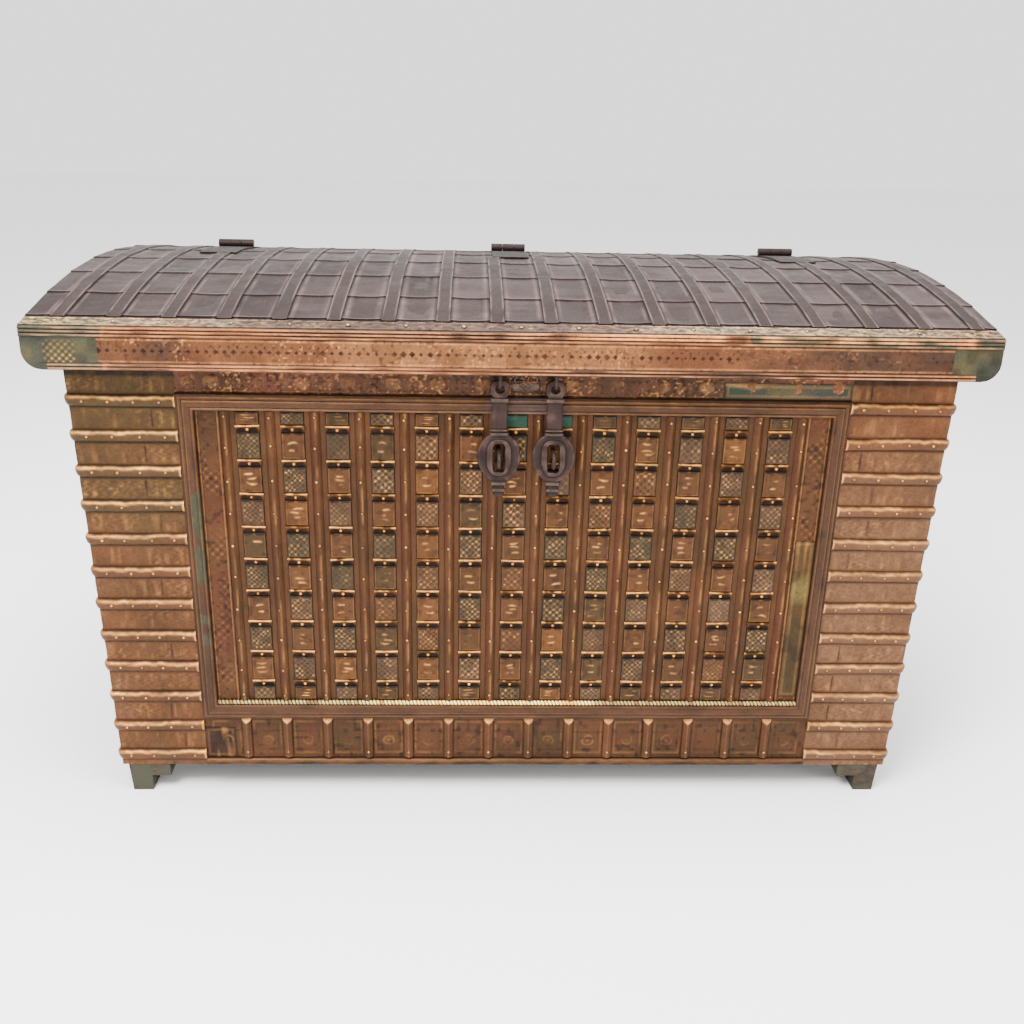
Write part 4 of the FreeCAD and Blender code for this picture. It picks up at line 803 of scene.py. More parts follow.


# Ridge: a lip along its upper edge and a hollow underside, with a painted highlight along the lip and painted shadow,
# near black, in two lobes beside the nail under it
def ridgeBatch(lows, highs, seed):
    low, high = lows[:, None, None, :], highs[:, None, None, :]
    t = np.linspace(-1, 1, ridges["along"])[None, :, None]
    phi = np.linspace(0, pi, ridges["around"])[None, None, :]
    level = np.cos(phi)
    middle, half = (low + high) / 2, (high - low) / 2
    draw = np.random.default_rng(seed).uniform(-1, 1, (len(lows), 4))[:, :, None, None]
    pinch = 1 - ridges["pinch"] * bell(t, 0.2)
    lip = np.sin(phi) ** 0.6 * (0.72 + 0.28 * level)
    rows = middle[..., 1] + half[..., 1] * level * (1 - 0.12 * bell(t, 0.3)) + 0.7 * mm * draw[:, 0] * t
    out = low[..., 2] + (high - low)[..., 2] * lip * pinch * (0.9 + 0.08 * draw[:, 1])
    points = onFront(middle[..., 0] + half[..., 0] * t, rows, out)
    # Painted shadow: two near-black lobes under the lip, one on each side of the nail
    lobe = 1 - ((np.abs(t) - 0.5) / 0.46) ** 2 - ((level + 0.45 + 0.08 * draw[:, 2]) / 1.02) ** 2
    dirt = rise(lobe, -0.05, 0.25)
    worn = rise(draw[:, 3] + noise(rows * 3 + t, middle[..., 0] * 5, 0.3, seed + 1), -1.1, 0.2)
    # Painted highlight along the upper lip, broken in patches
    rub = 0.9 * bell(level - 0.84, 0.16) * worn
    tint = 0.45 + 0.3 * draw[:, 2]
    spots = onFront(middle[:, 0, 0, 0], middle[:, 0, 0, 1] - 0.4 * mm, low[:, 0, 0, 2] + 2 * half[:, 0, 0, 2] * 0.62)
    heads = nailBatch(spots, outwards, ridges["nail"], ridges["nailHeight"], seed + 2)
    return [batch(points, dirt=dirt, rub=rub, tint=tint), heads]


# Battens with a nail above, below and between the ridges, and the ridges themselves
def panelPieces():
    lows, highs = solidBoxes("panel_battens", toFront)
    ridgeLows, ridgeHighs = solidBoxes("panel_ridges", toFront)
    rowMiddles = np.unique(np.round((ridgeLows[:, 1] + ridgeHighs[:, 1]) / 2, 4))
    lowest, highest = rowMiddles[0] - battens["nailBelow"], rowMiddles[-1] + battens["nailAbove"]
    nailRows = np.concatenate(([lowest], (rowMiddles[1:] + rowMiddles[:-1]) / 2, [highest]))
    across, up = np.meshgrid((lows[:, 0] + highs[:, 0]) / 2, nailRows)
    jitter = noise(across * 3, up, 0.02, 301) * 3 * mm
    spots = onFront(across + 0.3 * jitter, up + jitter, highs[0, 2] - 0.8 * mm).reshape(-1, 3)
    heads = nailBatch(spots, outwards, battens["nail"], battens["nailHeight"], 302)
    addPiece("panelBattens", battenBatch(lows, highs, 310) + [heads], "panelBronze", "panel_battens")
    addPiece("panelRidges", ridgeBatch(ridgeLows, ridgeHighs, 320), "ridgeBronze", "panel_ridges")


# Diaper of a lattice plate: crossing diagonal lines, dots where they cross, and the dark diamonds between
def diaper(x, y, pitch):
    p, q = (x + y) / pitch, (x - y) / pitch
    crossed = np.maximum(bell(fromNearest(p, 1), 0.15), bell(fromNearest(q, 1), 0.15))
    dots = bell(np.hypot(fromNearest(p, 1), fromNearest(q, 1)), 0.2)
    cells = bell(np.hypot(fromNearest(p, 1, 0.5), fromNearest(q, 1, 0.5)), 0.3)
    return crossed, dots, cells


# Strokes of a figured plate: two or three short level lines, each a bell across a shallow arc
def figureStrokes(plateCount, s, t, seed):
    relief = np.zeros((plateCount, *np.broadcast(s, t).shape[1:]))
    for index in range(plateCount):
        draw = np.random.default_rng(seed + index)
        count = draw.integers(2, 4)
        for number in range(count):
            angle, shift = draw.uniform(-0.16, 0.16), draw.uniform(-0.12, 0.12)
            level = (number + 0.5) / count * 0.56 - 0.28 + draw.uniform(-0.05, 0.05)
            x, y = s[0] - shift, t[0] - level
            along, away = x * math.cos(angle) + y * math.sin(angle), y * math.cos(angle) - x * math.sin(angle)
            arc = away - draw.uniform(-1.1, 1.1) * along ** 2
            line = bell(arc, 0.03) * rise(-np.abs(along), -draw.uniform(0.14, 0.3), -0.08)
            relief[index] = np.maximum(relief[index], line * draw.uniform(0.5, 1))
    return relief


# Colour of each plate: most keep their own and some are greyer or more golden; the top and bottom rows are dark,
# and two plates of the top row are painted teal
def plateTints(middles, seed, figured):
    draw = np.random.default_rng(seed).uniform(0, 1, (2, len(middles)))
    tint = 0.3 + 0.4 * draw[0]
    tint = np.where(draw[1] > 0.86, 0.92, tint)
    tint = np.where(draw[1] < (0.1 if figured else 0.3), 0.08, tint)
    golden = (middles[:, 0] > -0.18) & (middles[:, 0] < -0.09)
    tint = np.where(golden, np.maximum(tint, 0.8), tint)
    topRow = middles[:, 1] > panelHigh[1] - 0.035
    teal = topRow & (np.minimum(np.abs(middles[:, 0]), np.abs(middles[:, 0] - 0.071)) < 0.02)
    bottomRow = middles[:, 1] < panelLow[1] + 0.035
    tint = np.where(topRow | bottomRow, np.where(draw[0] < 0.6, 0.1, 0.4), tint)
    return np.where(teal, 2.0, tint)


# Plates: raised inside pressed edges, with their pattern on top and a painted shadow of the ridge above, where their
# rub is taken away
def plateBatch(node, figured, seed):
    lows, highs = solidBoxes(node, toFront)
    s = np.linspace(-0.5, 0.5, plates["columns"])[None, None, :]
    t = np.linspace(-0.5, 0.5, plates["rows"])[None, :, None]
    size = (highs - lows)[:, None, None, :]
    middle = ((highs + lows) / 2)[:, None, None, :]
    x, y = s * size[..., 0], t * size[..., 1]
    edge = np.minimum(size[..., 0] / 2 - np.abs(x), size[..., 1] / 2 - np.abs(y))
    inside = rise(edge, 2.2 * mm, 4 * mm)
    draw = np.random.default_rng(seed + 9).uniform(0, 1, (3, len(lows), 1, 1))
    across, up = middle[..., 0] + x, middle[..., 1] + y
    patchy = patches(across, up, 0.014, seed + 4, -0.7, 0.3)
    if figured:
        raised = figureStrokes(len(lows), s, t, seed) * inside
        rim = bell(edge - 2.6 * mm, 0.9 * mm) * (0.25 + 0.5 * draw[0])
        relief, rub = raised + 0.6 * rim, 0.9 * raised * patchy + rim * 0.16
        dirt = 0.25 * bell(edge - 4.4 * mm, mm) + 0.5 * patches(across, up, 0.007, seed + 5, 0.1, 0.7)
    else:
        bent = 1.3 * mm * noise(across, up, 0.006, seed + 7)
        pitch = size[..., 0] * 1.41 / (4.2 + 2.2 * draw[2])
        crossed, dots, cells = diaper(x + bent + 2 * mm * (draw[1] - 0.5), y - bent, pitch)
        strength = (0.3 + 0.7 * draw[0]) * inside
        speckled = patches(across, up, 0.003, seed + 8, -0.3, 0.4)
        relief = (0.4 * crossed + 0.7 * dots - 0.5 * cells) * strength
        rub = (dots * patchy * speckled + 0.08 * crossed) * strength
        dirt = 0.9 * cells * strength * (0.3 + 0.7 * speckled) + 0.3 * (1 - patchy) * inside
    tint = plateTints(middle[:, 0, 0, :2], seed, figured)[:, None, None]
    painted = tint > 1
    dent = 0.6 * mm * noise(across, up, 0.022, seed + 3)
    out = lows[:, None, None, 2] + size[..., 2] * rise(edge, -0.5 * mm, 1.6 * mm)
    out = out + plates["relief"] * relief + dent * inside
    # Painted shadow of the ridge above: two lobes at the plate's top edge; it also removes the rub there
    shade = 1 - ((np.abs(s) - 0.25) / 0.24) ** 2 - ((0.5 * size[..., 1] - y) / (4.5 * mm)) ** 2
    dirt = dirt + 1 - rise(edge, 0.2 * mm, 1.8 * mm) + rise(shade, 0, 0.4)
    rub = np.where(painted, 0.1 * rub, rub) * (1 - rise(shade, -0.2, 0.2))
    dirt = np.where(painted, 0.4 * dirt, dirt)
    return sheetRings(onFront, across, up, out, lows[:, None, None, 2], dirt=dirt, rub=rub, tint=tint)


# Backing sheet of the panel: flat, brown where the plates leave it bare
def panelBacking():
    across, up = grid(panelLow, panelHigh, 6 * mm)
    out = panelHigh[2] - 0.3 * mm + 0.2 * mm * dents(across, up, 341)
    tint = 0.45 + 0.3 * noise(across, up, 0.06, 343)
    rings = sheetRings(onFront, across, up, out, panelLow[2], dirt=0.12, tint=tint)
    addPiece("panelBacking", [rings], "panelBronze", "panel_sheet")


# Narrow strips down both sides: a column of worn diamonds with dark dots
def sideStripPiece():
    batches = []
    for low, high in zip(*solidBoxes("side_strips", toFront)):
        across, up = grid(low, high, 1.3 * mm, 1.6 * mm)
        x = across - (low[0] + high[0]) / 2
        edge = np.minimum(across - low[0], high[0] - across)
        crossed, dots, cells = diaper(x, up, 15 * mm)
        worn = patches(across, up, 0.03, 352, -0.4, 0.5) * rise(edge, 4 * mm, 6 * mm)
        ledge = bell(edge - 2.5 * mm, mm)
        out = high[2] + 0.9 * mm * (crossed - cells) * worn + 0.6 * mm * ledge + 0.6 * mm * dents(across, up, 351)
        pits = patches(across, up, 0.007, 353, 0.4, 0.7)
        dirt = 0.6 * cells * worn + 0.6 * pits + 0.5 * bell(edge - 4.5 * mm, mm)
        rub = 0.15 * dots * worn + 0.2 * ledge
        tint = 0.66 + 0.25 * noise(across, up, 0.06, 354)
        batches.append(sheetRings(onFront, across, up, out, low[2], dirt=dirt, rub=rub, tint=tint))
    addPiece("sideStrips", batches, "panelBronze", "side_strips")


panelBacking()
panelPieces()
addPiece("latticePlates", [plateBatch("lattice_plates", False, 401)], "latticeGrey", "lattice_plates")
addPiece("figuredPlates", [plateBatch("figured_plates", True, 501)], "figuredCopper", "figured_plates")
sideStripPiece()


# Lower band: embossed boxes between upright ribs with hipped ends, and the base moulding

lowerBand = {"step": 1.8 * mm, "relief": 1.0 * mm, "hip": 9 * mm, "nail": 2.2 * mm, "nailHeight": 1.4 * mm}


# Rib: a gable across its width, cut off at its upper end by a slope that catches the light, painted as a highlight
def hippedRibs(lows, highs, seed):
    rings = []
    for number, (low, high) in enumerate(zip(lows, highs)):
        hip = lowerBand["hip"]
        depth = np.concatenate((np.linspace(0, hip, 7), np.linspace(hip, high[1] - low[1], 16)[1:]))[:, None]
        side = np.linspace(-1, 1, 17)[None, :]
        gable = 1 - 0.65 * np.abs(side) ** 1.4
        slope = depth / hip
        out = low[2] + (high[2] - low[2]) * np.minimum(gable, 0.12 + slope) * rise(1 - np.abs(side), -0.1, 0.12)
        out = out * (1 - 0.03 * noise(depth, side * 0.01, 0.02, seed + number))
        across = (low[0] + high[0]) / 2 + (high[0] - low[0]) / 2 * side
        # Painted highlight on the hip slope; the right flank below it is a little darker
        lit = rise(gable - 0.05 - slope, -0.1, 0.12)
        dirt = 0.7 * rise(np.abs(side), 0.86, 0.98) + 0.15 * rise(side, 0.05, 0.4) * (1 - lit)
        rub = lit * 0.8 + 0.06 * bell(side, 0.1) * (1 - lit)
        tint = 0.52 + 0.25 * noise(depth, side * 0.02 + number, 0.03, seed + 30)
        rings.append(batch(onFront(across, high[1] - depth, out), dirt=dirt, rub=rub, tint=tint))
    return rings


# Band: a box between each two ribs with a rolled ring and a boss in it; then the ribs, their nails, the moulding
def lowerBandPieces():
    low, high = frontBox("lower_band_sheet")
    ribLows, ribHighs = solidBoxes("lower_band_ribs", toFront)
    ribMiddles = (ribLows[:, 0] + ribHighs[:, 0]) / 2
    pitch = np.diff(ribMiddles).mean()
    ribHalfWidth = (ribHighs[0, 0] - ribLows[0, 0]) / 2
    across, up = grid(low, high, lowerBand["step"])
    x = (across - ribMiddles[0]) % pitch - pitch / 2
    y = up - (low[1] + high[1]) / 2
    away = np.maximum(np.abs(x) / (pitch / 2 - ribHalfWidth), np.abs(y) / ((high[1] - low[1]) / 2 - 4 * mm))
    worn = patches(across, up, 0.03, 601, -0.6, 0.5)
    fromBoss = np.hypot(x, y + 6 * mm)
    rolls = bell(fromBoss - 9 * mm - 2 * mm * noise(across, up, 0.012, 607), 1.6 * mm)
    boxes = np.clip(0.7 * bell(away - 0.86, 0.06) + rolls + 0.8 * bell(fromBoss, 3.4 * mm), 0, 1) * worn
    grooves = 0.4 * bell(away - 0.7, 0.07) + 0.4 * bell(away - 1.0, 0.07)
    grooves = grooves + bell(y - 12 * mm - 1.5 * mm * noise(across, 0, 0.04, 606), 1.6 * mm) * worn
    out = high[2] + lowerBand["relief"] * (boxes - 0.5 * grooves) + 0.9 * mm * dents(across, up, 602)
    pits = patches(across, up, 0.008, 604, 0.4, 0.7)
    dirt, tint = 0.6 * grooves + 0.6 * pits + 0.12, 0.45 + 0.4 * noise(across, up, 0.05, 605)
    rings = sheetRings(onFront, across, up, out, low[2], dirt=dirt, rub=0.12 * boxes, tint=tint)
    addPiece("lowerBand", [rings], "panelBronze", "lower_band_sheet")
    spots = onFront(ribMiddles, ribLows[0, 1] + 12 * mm, ribHighs[0, 2] - 0.5 * mm)
    heads = nailBatch(spots, outwards, lowerBand["nail"], lowerBand["nailHeight"], 603)
    addPiece("lowerBandRibs", hippedRibs(ribLows, ribHighs, 610) + [heads], "panelBronze", "lower_band_ribs")
    low, high = frontBox("base_moulding")
    across = lines(low[0], high[0], 4 * mm)[:, None]
    phi = np.linspace(0, pi, 11)[None, :]
    wave = 1.2 * mm * noise(across, 0, 0.13, 621)
    rows = (low[1] + high[1]) / 2 + (high[1] - low[1]) / 2 * 0.92 * np.cos(phi) + wave * 0.5
    size = 0.9 + 0.09 * dents(across, phi * 0.02, 622, 0.05)
    out = low[2] + (high[2] - low[2]) * size * np.sin(phi) ** 0.8
    scallops = rise(noise(across, 0, 0.022, 623) - 1.4 * np.cos(phi), 0.25, 0.75)
    rings = batch(onFront(across, rows, out), rub=0.12 * bell(np.cos(phi) - 0.5, 0.2),
                  dirt=scallops + 0.15 + rise(np.cos(phi), 0.85, 1),
                  tint=0.5 + 0.3 * noise(across, phi * 0.01, 0.06, 624))
    addPiece("baseMoulding", [rings], "panelBronze", "base_moulding")


lowerBandPieces()
print("front of the carcass dressed")


# Facing of the lid's front rail

railFacing = {"step": 1.3 * mm, "pitch": 13.5 * mm, "depth": 0.9 * mm, "green": 0.62, "greenRight": 0.34, "gap": 0.69}
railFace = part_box("rail_pierced_sheet")[1].y


# A point on the rail's face: x along it, z up, out towards the front from the face's plane
def onRail(across, up, out):
    across, up, out = np.broadcast_arrays(across, up, out)
    return np.stack((across, railFace - out, up), -1)


# A row of pierced diamonds of uneven size, and small dots above some of them; 1 in the holes
def piercing(across, up, middle, seed):
    pitch = railFacing["pitch"]
    x = fromNearest(across, pitch)
    cell = across - (across + pitch / 2) % pitch
    size = 3.5 * mm + 1.7 * mm * noise(cell, 0, pitch * 0.9, seed)
    diamond = rise(-(x + np.abs(up - middle)), -size - 0.9 * mm, -size + 0.6 * mm)
    dot = rise(-np.hypot(fromNearest(across, pitch, pitch / 2), up - middle - 8 * mm), -2 * mm, -1.2 * mm)
    there = noise(across, 0, 0.035, seed + 1) > -0.15
    return np.maximum(diamond, 0.7 * dot * there)


# A sheet on the rail: the pierced row along its middle, a ledge near each edge, dents, flecks and stains
def railSheet(name, node, holes, seed):
    low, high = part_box(node)
    across = lines(low.x, high.x, railFacing["step"])[None, :]
    up = lines(low.z, high.z, railFacing["step"])[:, None]
    middle = low.z + (high.z - low.z) * 0.5
    fade = 1 - 0.75 * rise(across, 0.3, 0.38)
    hole = piercing(across, up, middle, seed) * holes * fade
    edge = np.minimum(up - low.z, high.z - up)
    ledge = bell(edge - 3 * mm, 1.1 * mm)
    gauge = high.y - low.y
    out = gauge - railFacing["depth"] * hole + 0.5 * mm * ledge + 0.8 * mm * dents(across, up, seed + 3)
    pits = patches(across, up, 0.006, seed + 4, 0.4, 0.7)
    stain = patches(across, up, 0.05, seed + 5, 0.2, 0.7)
    dirt = hole * 1.25 + 0.5 * pits + 0.3 * stain + 0.6 * (1 - rise(edge, 0, 2 * mm))
    flecks = patches(across, up, 0.0035, seed + 6, 0.4, 0.9) * patches(across, up, 0.03, seed + 8, -0.3, 0.5)
    tint = 0.5 + 0.4 * bell(across + 0.04, 0.25) - 0.4 * rise(across, 0.25, 0.5) - 0.2 * rise(-across, 0.3, 0.5)
    tint = tint + 0.2 * noise(across, up, 0.06, seed + 7)
    rings = sheetRings(onRail, across, up, out, 0.0, dirt=dirt, rub=0.4 * ledge + 0.5 * flecks * fade, tint=tint)
    addPiece(name, [rings], "railOrange", node, body="lid")


railSheet("railPierced", "rail_pierced_sheet", 1.0, 701)
railSheet("railPlain", "rail_plain_sheet", 0.8, 721)


# Mark of the old green paint at the left end of the lid, and, where it is asked for, over the right quarter but for
# a short gap; its edges are ragged
def greenEnd(across, along, right=False):
    ragged = 12 * mm * noise(across, along, 0.02, 781)
    mark = rise(-across - ragged, railFacing["green"], railFacing["green"] + 8 * mm)
    if right:
        gap = bell(across - railFacing["gap"], 9 * mm)
        mark = mark + rise(across + ragged, railFacing["greenRight"], railFacing["greenRight"] + 12 * mm) * (1 - gap)
    return 1.5 * mark


# A reeded strip along the rail: half rounds side by side, with a painted highlight, partly rubbed metal, on top of
# each and painted shade between. A worn one is paler along its upper half from the middle to the right, rubbed and
# with a stronger painted highlight, and is green at both ends
def reedStrip(name, node, count, worn, middle, shine, seed):
    low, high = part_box(node)
    across = lines(low.x, high.x, 6 * mm)[:, None]
    share = np.linspace(0, 1, count * 8 + 1)[None, :]
    depth = high.y - low.y
    crest = np.abs(np.sin(count * pi * share)) ** 0.7
    wave = 0.5 * mm * dents(across, share * 0.02, seed, 0.08)
    out = np.clip(depth * (0.3 + 0.68 * crest) + wave * crest, 0.1 * mm, depth)
    ragged = patches(across, share * 0.05, 0.03, seed + 1, -0.8, 0.4)
    tint = middle + 0.3 * noise(across, share * 0.01, 0.15, seed + 2) - 0.3 * rise(across, 0.25, 0.5)
    tint = tint + greenEnd(across, share * 0.02, worn)
    upper = worn * rise(across, -0.1, 0.15) * rise(share, 0.3, 0.55)
    rub = shine * (1 + 0.8 * upper) * rise(crest + 0.3 * upper, 0.85, 0.99) * ragged

    def place(across, up, out):
        return np.stack((across, high.y - out, up), -1)

    rings = sheetRings(place, across, low.z + (high.z - low.z) * share, out, 0.0, dirt=1 - rise(crest, 0.2, 0.6),
                       rub=rub, tint=tint)
    addPiece(name, [rings], "railOrange", node, body="lid")


reedStrip("railTopMoulding", "rail_top_moulding", 3, True, 0.3, 0.55, 741)
reedStrip("railLowReeds", "rail_low_reeds", 2, False, 0.42, 0.65, 751)


# End caps of the rail: a rounded lower outer corner and a diaper of pale dots in the middle
def railCapPiece():
    batches = []
    reedInner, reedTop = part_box("rail_low_reeds")[1].x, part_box("rail_low_reeds")[1].z
    bend = 30 * mm
    for low, high in zip(*solidBoxes("rail_caps")):
        side = -1 if low[0] < 0 else 1
        up = lines(low[2], high[2], 1.5 * mm)[:, None]
        share = np.linspace(0, 1, 60)[None, :]
        drop = np.clip(bend - (up - low[2]), 0, bend)
        outerEdge = max(abs(low[0]), abs(high[0])) - (bend - np.sqrt(np.maximum(bend ** 2 - drop ** 2, 0)))
        innerEdge = np.where(up < reedTop, reedInner, min(abs(low[0]), abs(high[0])))
        across = side * (innerEdge + share * np.maximum(outerEdge - innerEdge, 0.2 * mm))
        x = np.abs(across) - (abs(low[0]) + abs(high[0])) / 2
        window = rise(up - low[2], 8 * mm, 14 * mm) * rise(high[2] - up, 4 * mm, 8 * mm)
        window = window * rise(26 * mm - np.abs(x), 0, 6 * mm) * (side < 0)
        crossed, dots, cells = diaper(x, up, 11 * mm)
        out = (high[1] - low[1]) + 0.8 * mm * (0.5 * crossed + dots) * window + 0.6 * mm * dents(across, up, 761)
        flakes = patches(across, up, 0.02, 762, -0.1, 0.5)
        dirt = 0.8 * window * cells + 0.45 * flakes * (1 - window) + 0.2 * (side > 0)
        rub = 0.8 * window * dots * (0.4 + 0.6 * flakes)
        tint = 0.72 + 0.4 * noise(across, up, 0.03, 763)
        batches.append(sheetRings(onRail, across, up, out, 0.0, dirt=dirt, rub=rub, tint=tint))
    addPiece("railCaps", batches, "patinaGreen", "rail_caps", body="lid")


railCapPiece()


# Dome of the lid

dome = {"lap": 2.0 * mm, "dent": 1.5 * mm, "step": 7 * mm, "wave": 2.2 * mm, "nail": 2.4 * mm,
        "nailHeight": 1.4 * mm, "nailPitch": 88 * mm, "ribTop": 3.0 * mm}
skinPoints = nodePoints("lid_sheets")
topPoints = np.concatenate((skinPoints, nodePoints("lid_border_sheet"), nodePoints("rear_sheet")))


# The dome is a circle about an axis along X, found from three points of the skin's outer face
def domeCircle():
    rows = {}
    for y in (topPoints[:, 1].min(), 0, topPoints[:, 1].max()):
        near = topPoints[np.abs(topPoints[:, 1] - y) < np.abs(topPoints[:, 1] - y).min() + 0.5 * mm]
        rows[y] = near[near[:, 2].argmax(), 1:]
    (y1, z1), (y2, z2), (y3, z3) = rows.values()
    left = np.array([[y2 - y1, z2 - z1], [y3 - y1, z3 - z1]]) * 2
    right = np.array([y2 ** 2 - y1 ** 2 + z2 ** 2 - z1 ** 2, y3 ** 2 - y1 ** 2 + z3 ** 2 - z1 ** 2])
    cy, cz = np.linalg.solve(left, right)
    return cy, cz, math.hypot(y1 - cy, z1 - cz)


domeY, domeZ, domeRadius = domeCircle()
print("dome axis", round(domeY, 4), round(domeZ, 4), "radius", round(domeRadius, 4))


# A point over the dome: x along the chest, depth from front to back, out away from the axis
def onDome(across, depth, out):
    across, depth, out = np.broadcast_arrays(across, depth, out)
    angle, reach = np.arcsin(np.clip((depth - domeY) / domeRadius, -1, 1)), domeRadius + out
    return np.stack((across, domeY + reach * np.sin(angle), domeZ + reach * np.cos(angle)), -1)


# Lines of a grid: even steps with extra lines close to each listed place
def closeLines(low, high, step, places, offsets):
    values = [lines(low, high, step)] + [np.asarray(places) + offset for offset in offsets]
    values = np.unique(np.round(np.clip(np.concatenate(values), low, high), 5))
    keep = np.concatenate(([True], np.diff(values) > 0.4 * mm))
    keep[-1] = True
    return values[keep]


ribLows, ribHighs = solidBoxes("lid_ribs")
ribPlaces = np.unique(np.round((ribLows[:, 0] + ribHighs[:, 0]) / 2, 4))
ribHalf = (ribHighs[:, 0] - ribLows[:, 0]).mean() / 2
seamShares = np.array([0.045, 0.17, 0.325, 0.485, 0.64, 0.815])
seams = topPoints[:, 1].min() + seamShares * (topPoints[:, 1].max() - topPoints[:, 1].min())


# Skin of the dome: the front edge of each course stands a little proud, with a painted shadow line before it and a
# painted highlight line on it, both patchy; tiles between the ribs are pillowed and differ in colour
def domeSheet(node, seed, border=False):
    low, high = nodePoints(node).min(0), nodePoints(node).max(0)
    besideRib = (-ribHalf - 5 * mm, -ribHalf - 2.5 * mm, -ribHalf, ribHalf, ribHalf + 2.5 * mm, ribHalf + 5 * mm)
    besideSeam = np.array([-7, -5, -3.4, -2, -1, -0.4, 0.4, 1.4, 2.8, 4.2, 6]) * mm
    across = closeLines(low[0], high[0], 3 * mm if border else dome["step"], ribPlaces, besideRib)[None, :]
    depth = closeLines(low[1], high[1], 2 * mm if border else dome["step"], seams, besideSeam)[:, None]
    inside = rise(depth - low[1], 0, 12 * mm) * rise(high[1] - depth, 0, 12 * mm)
    nearRib = np.min(np.abs(across[..., None] - ribPlaces), -1)
    pillow = rise(nearRib, ribHalf, ribHalf + 20 * mm)
    wobble = dents(across, depth, seed, 0.06) + 0.5 * noise(across, depth, 0.2, seed + 5)
    out = dome["dent"] * (wobble * 0.7 - 0.55) * pillow * inside
    ragged = patches(across, depth, 0.04, seed + 7, -1.0, 0.3)
    # Beside each rib a dark line of grime and painted shade, and a patchy pale line a little further out
    dirt = 0.5 * bell(nearRib - ribHalf - 0.5 * mm, 2 * mm) + 0.3 * patches(across, depth, 0.05, seed + 8, 0.3, 0.8)
    rub = 0.6 * bell(nearRib - ribHalf - 4 * mm, 1.6 * mm) * ragged
    for seam in seams:
        behind = depth - seam
        wider = 1 + rise(seam, -0.25, 0.2)
        out = out + dome["lap"] * np.exp(-np.maximum(behind, 0) / (16 * mm)) * (behind > 0)
        # Painted shadow line just in front of each lap, and a painted highlight line just behind it, both wider
        # towards the back
        dirt = dirt + bell(behind + 1.2 * mm * wider, 1.9 * mm * wider) * (0.75 + 0.25 * ragged)
        rub = rub + 0.6 * bell(behind - 3 * mm * wider, 1.5 * mm * wider) * ragged
    draw = np.random.default_rng(seed + 11).uniform(-1, 1, (len(ribPlaces) + 2, len(seams) + 2))
    tint = 0.5 + 0.34 * draw[np.searchsorted(ribPlaces, across), np.searchsorted(seams, depth)]
    tint = tint + 0.2 * noise(across * 0.15, depth, 0.012, seed + 12) + 0.15 * noise(across, depth, 0.03, seed + 18)
    tint = tint + 0.3 * rise(across, -0.5, 0.2) - 0.18
    if border:
        level = (depth - low[1]) / (high[1] - low[1])
        flakes = rise(noise(across, depth, 0.006, seed + 13) + noise(across, depth, 0.004, seed + 14), 0.3, 1.0)
        zigzag = bell(level - 0.3 - 0.4 * np.abs((across / (18 * mm)) % 2 - 1), 0.1)
        edges = bell(level - 0.1, 0.06) + bell(level - 0.92, 0.05)
        out = out + 0.9 * mm * np.clip(zigzag + edges + 0.5 * flakes, 0, 1)
        out = out + 0.4 * mm * dents(across, depth, seed + 15, 0.02)
        pale = 0.2 + 0.8 * np.maximum(rise(-across, 0.3, 0.6), rise(across, 0.05, 0.3) * 0.8)
        rub = (0.6 * flakes + 0.8 * edges + 0.5 * zigzag) * pale
        dirt = 0.8 * patches(across, depth, 0.005, seed + 16, 0.3, 0.7) + 0.8 * bell(level, 0.06)
        tint = 0.25 + 0.6 * pale + 0.2 * noise(across, depth, 0.05, seed + 17) + greenEnd(across, depth)
    wandering = depth + dome["wave"] * noise(across, depth, 0.09, seed + 3) * inside
    return sheetRings(onDome, across, wandering, out - 0.25 * mm, -sheetGauge, dirt=dirt, rub=rub, tint=tint)


# Outward directions at points of the dome
def domeNormals(points):
    normals = (points - np.array([0, domeY, domeZ])) * np.array([0, 1, 1])
    return normals / np.linalg.norm(normals, axis=1)[:, None]


# Ribs: broad low strips over the joints, with a painted highlight line down each side, patchy like wear, and dark
# edges of grime and painted shade
def domeRibs(node, body, name, seed):
    batches = []
    for number, (low, high) in enumerate(zip(*solidBoxes(node))):
        middle, half = (low[0] + high[0]) / 2, (high[0] - low[0]) / 2
        depth = lines(low[1] + 0.2 * mm, high[1] - mm, 6 * mm)[:, None]
        share = np.array([-1, -0.97, -0.9, -0.8, -0.68, -0.5, -0.2, 0.2, 0.5, 0.68, 0.8, 0.9, 0.97, 1])[None, :]
        side = np.abs(share)
        section = dome["ribTop"] * rise(1.02 - side, 0, 0.12) * (0.72 + 0.28 * bell(side - 0.8, 0.14))
        wave = 1.2 * mm * noise(depth, 0, 0.09, seed + number)
        out = section * (0.88 + 0.13 * dents(depth, share * 0.01, seed + 50 + number, 0.05)) + 0.15 * mm
        points = onDome(middle + half * 0.95 * share + wave * 0.5, depth, out)
        ragged = patches(depth, share * 0.01, 0.03, seed + 90 + number, -0.9, 0.3)
        # Dark edges of grime and painted shade, a faint darker line inside each, and a patchy painted highlight line
        # near each side
        dirt = rise(side, 0.9, 0.98) + 0.25 * bell(side - 0.62, 0.08)
        rub = 0.75 * bell(side - 0.8, 0.09) * ragged
        tint = 0.16 + 0.14 * noise(depth, share * 0.01, 0.06, seed + 95 + number)
        batches.append(batch(points, dirt=dirt, rub=rub, tint=tint))
    addPiece(name, batches, "lidPlum", node, body=body)


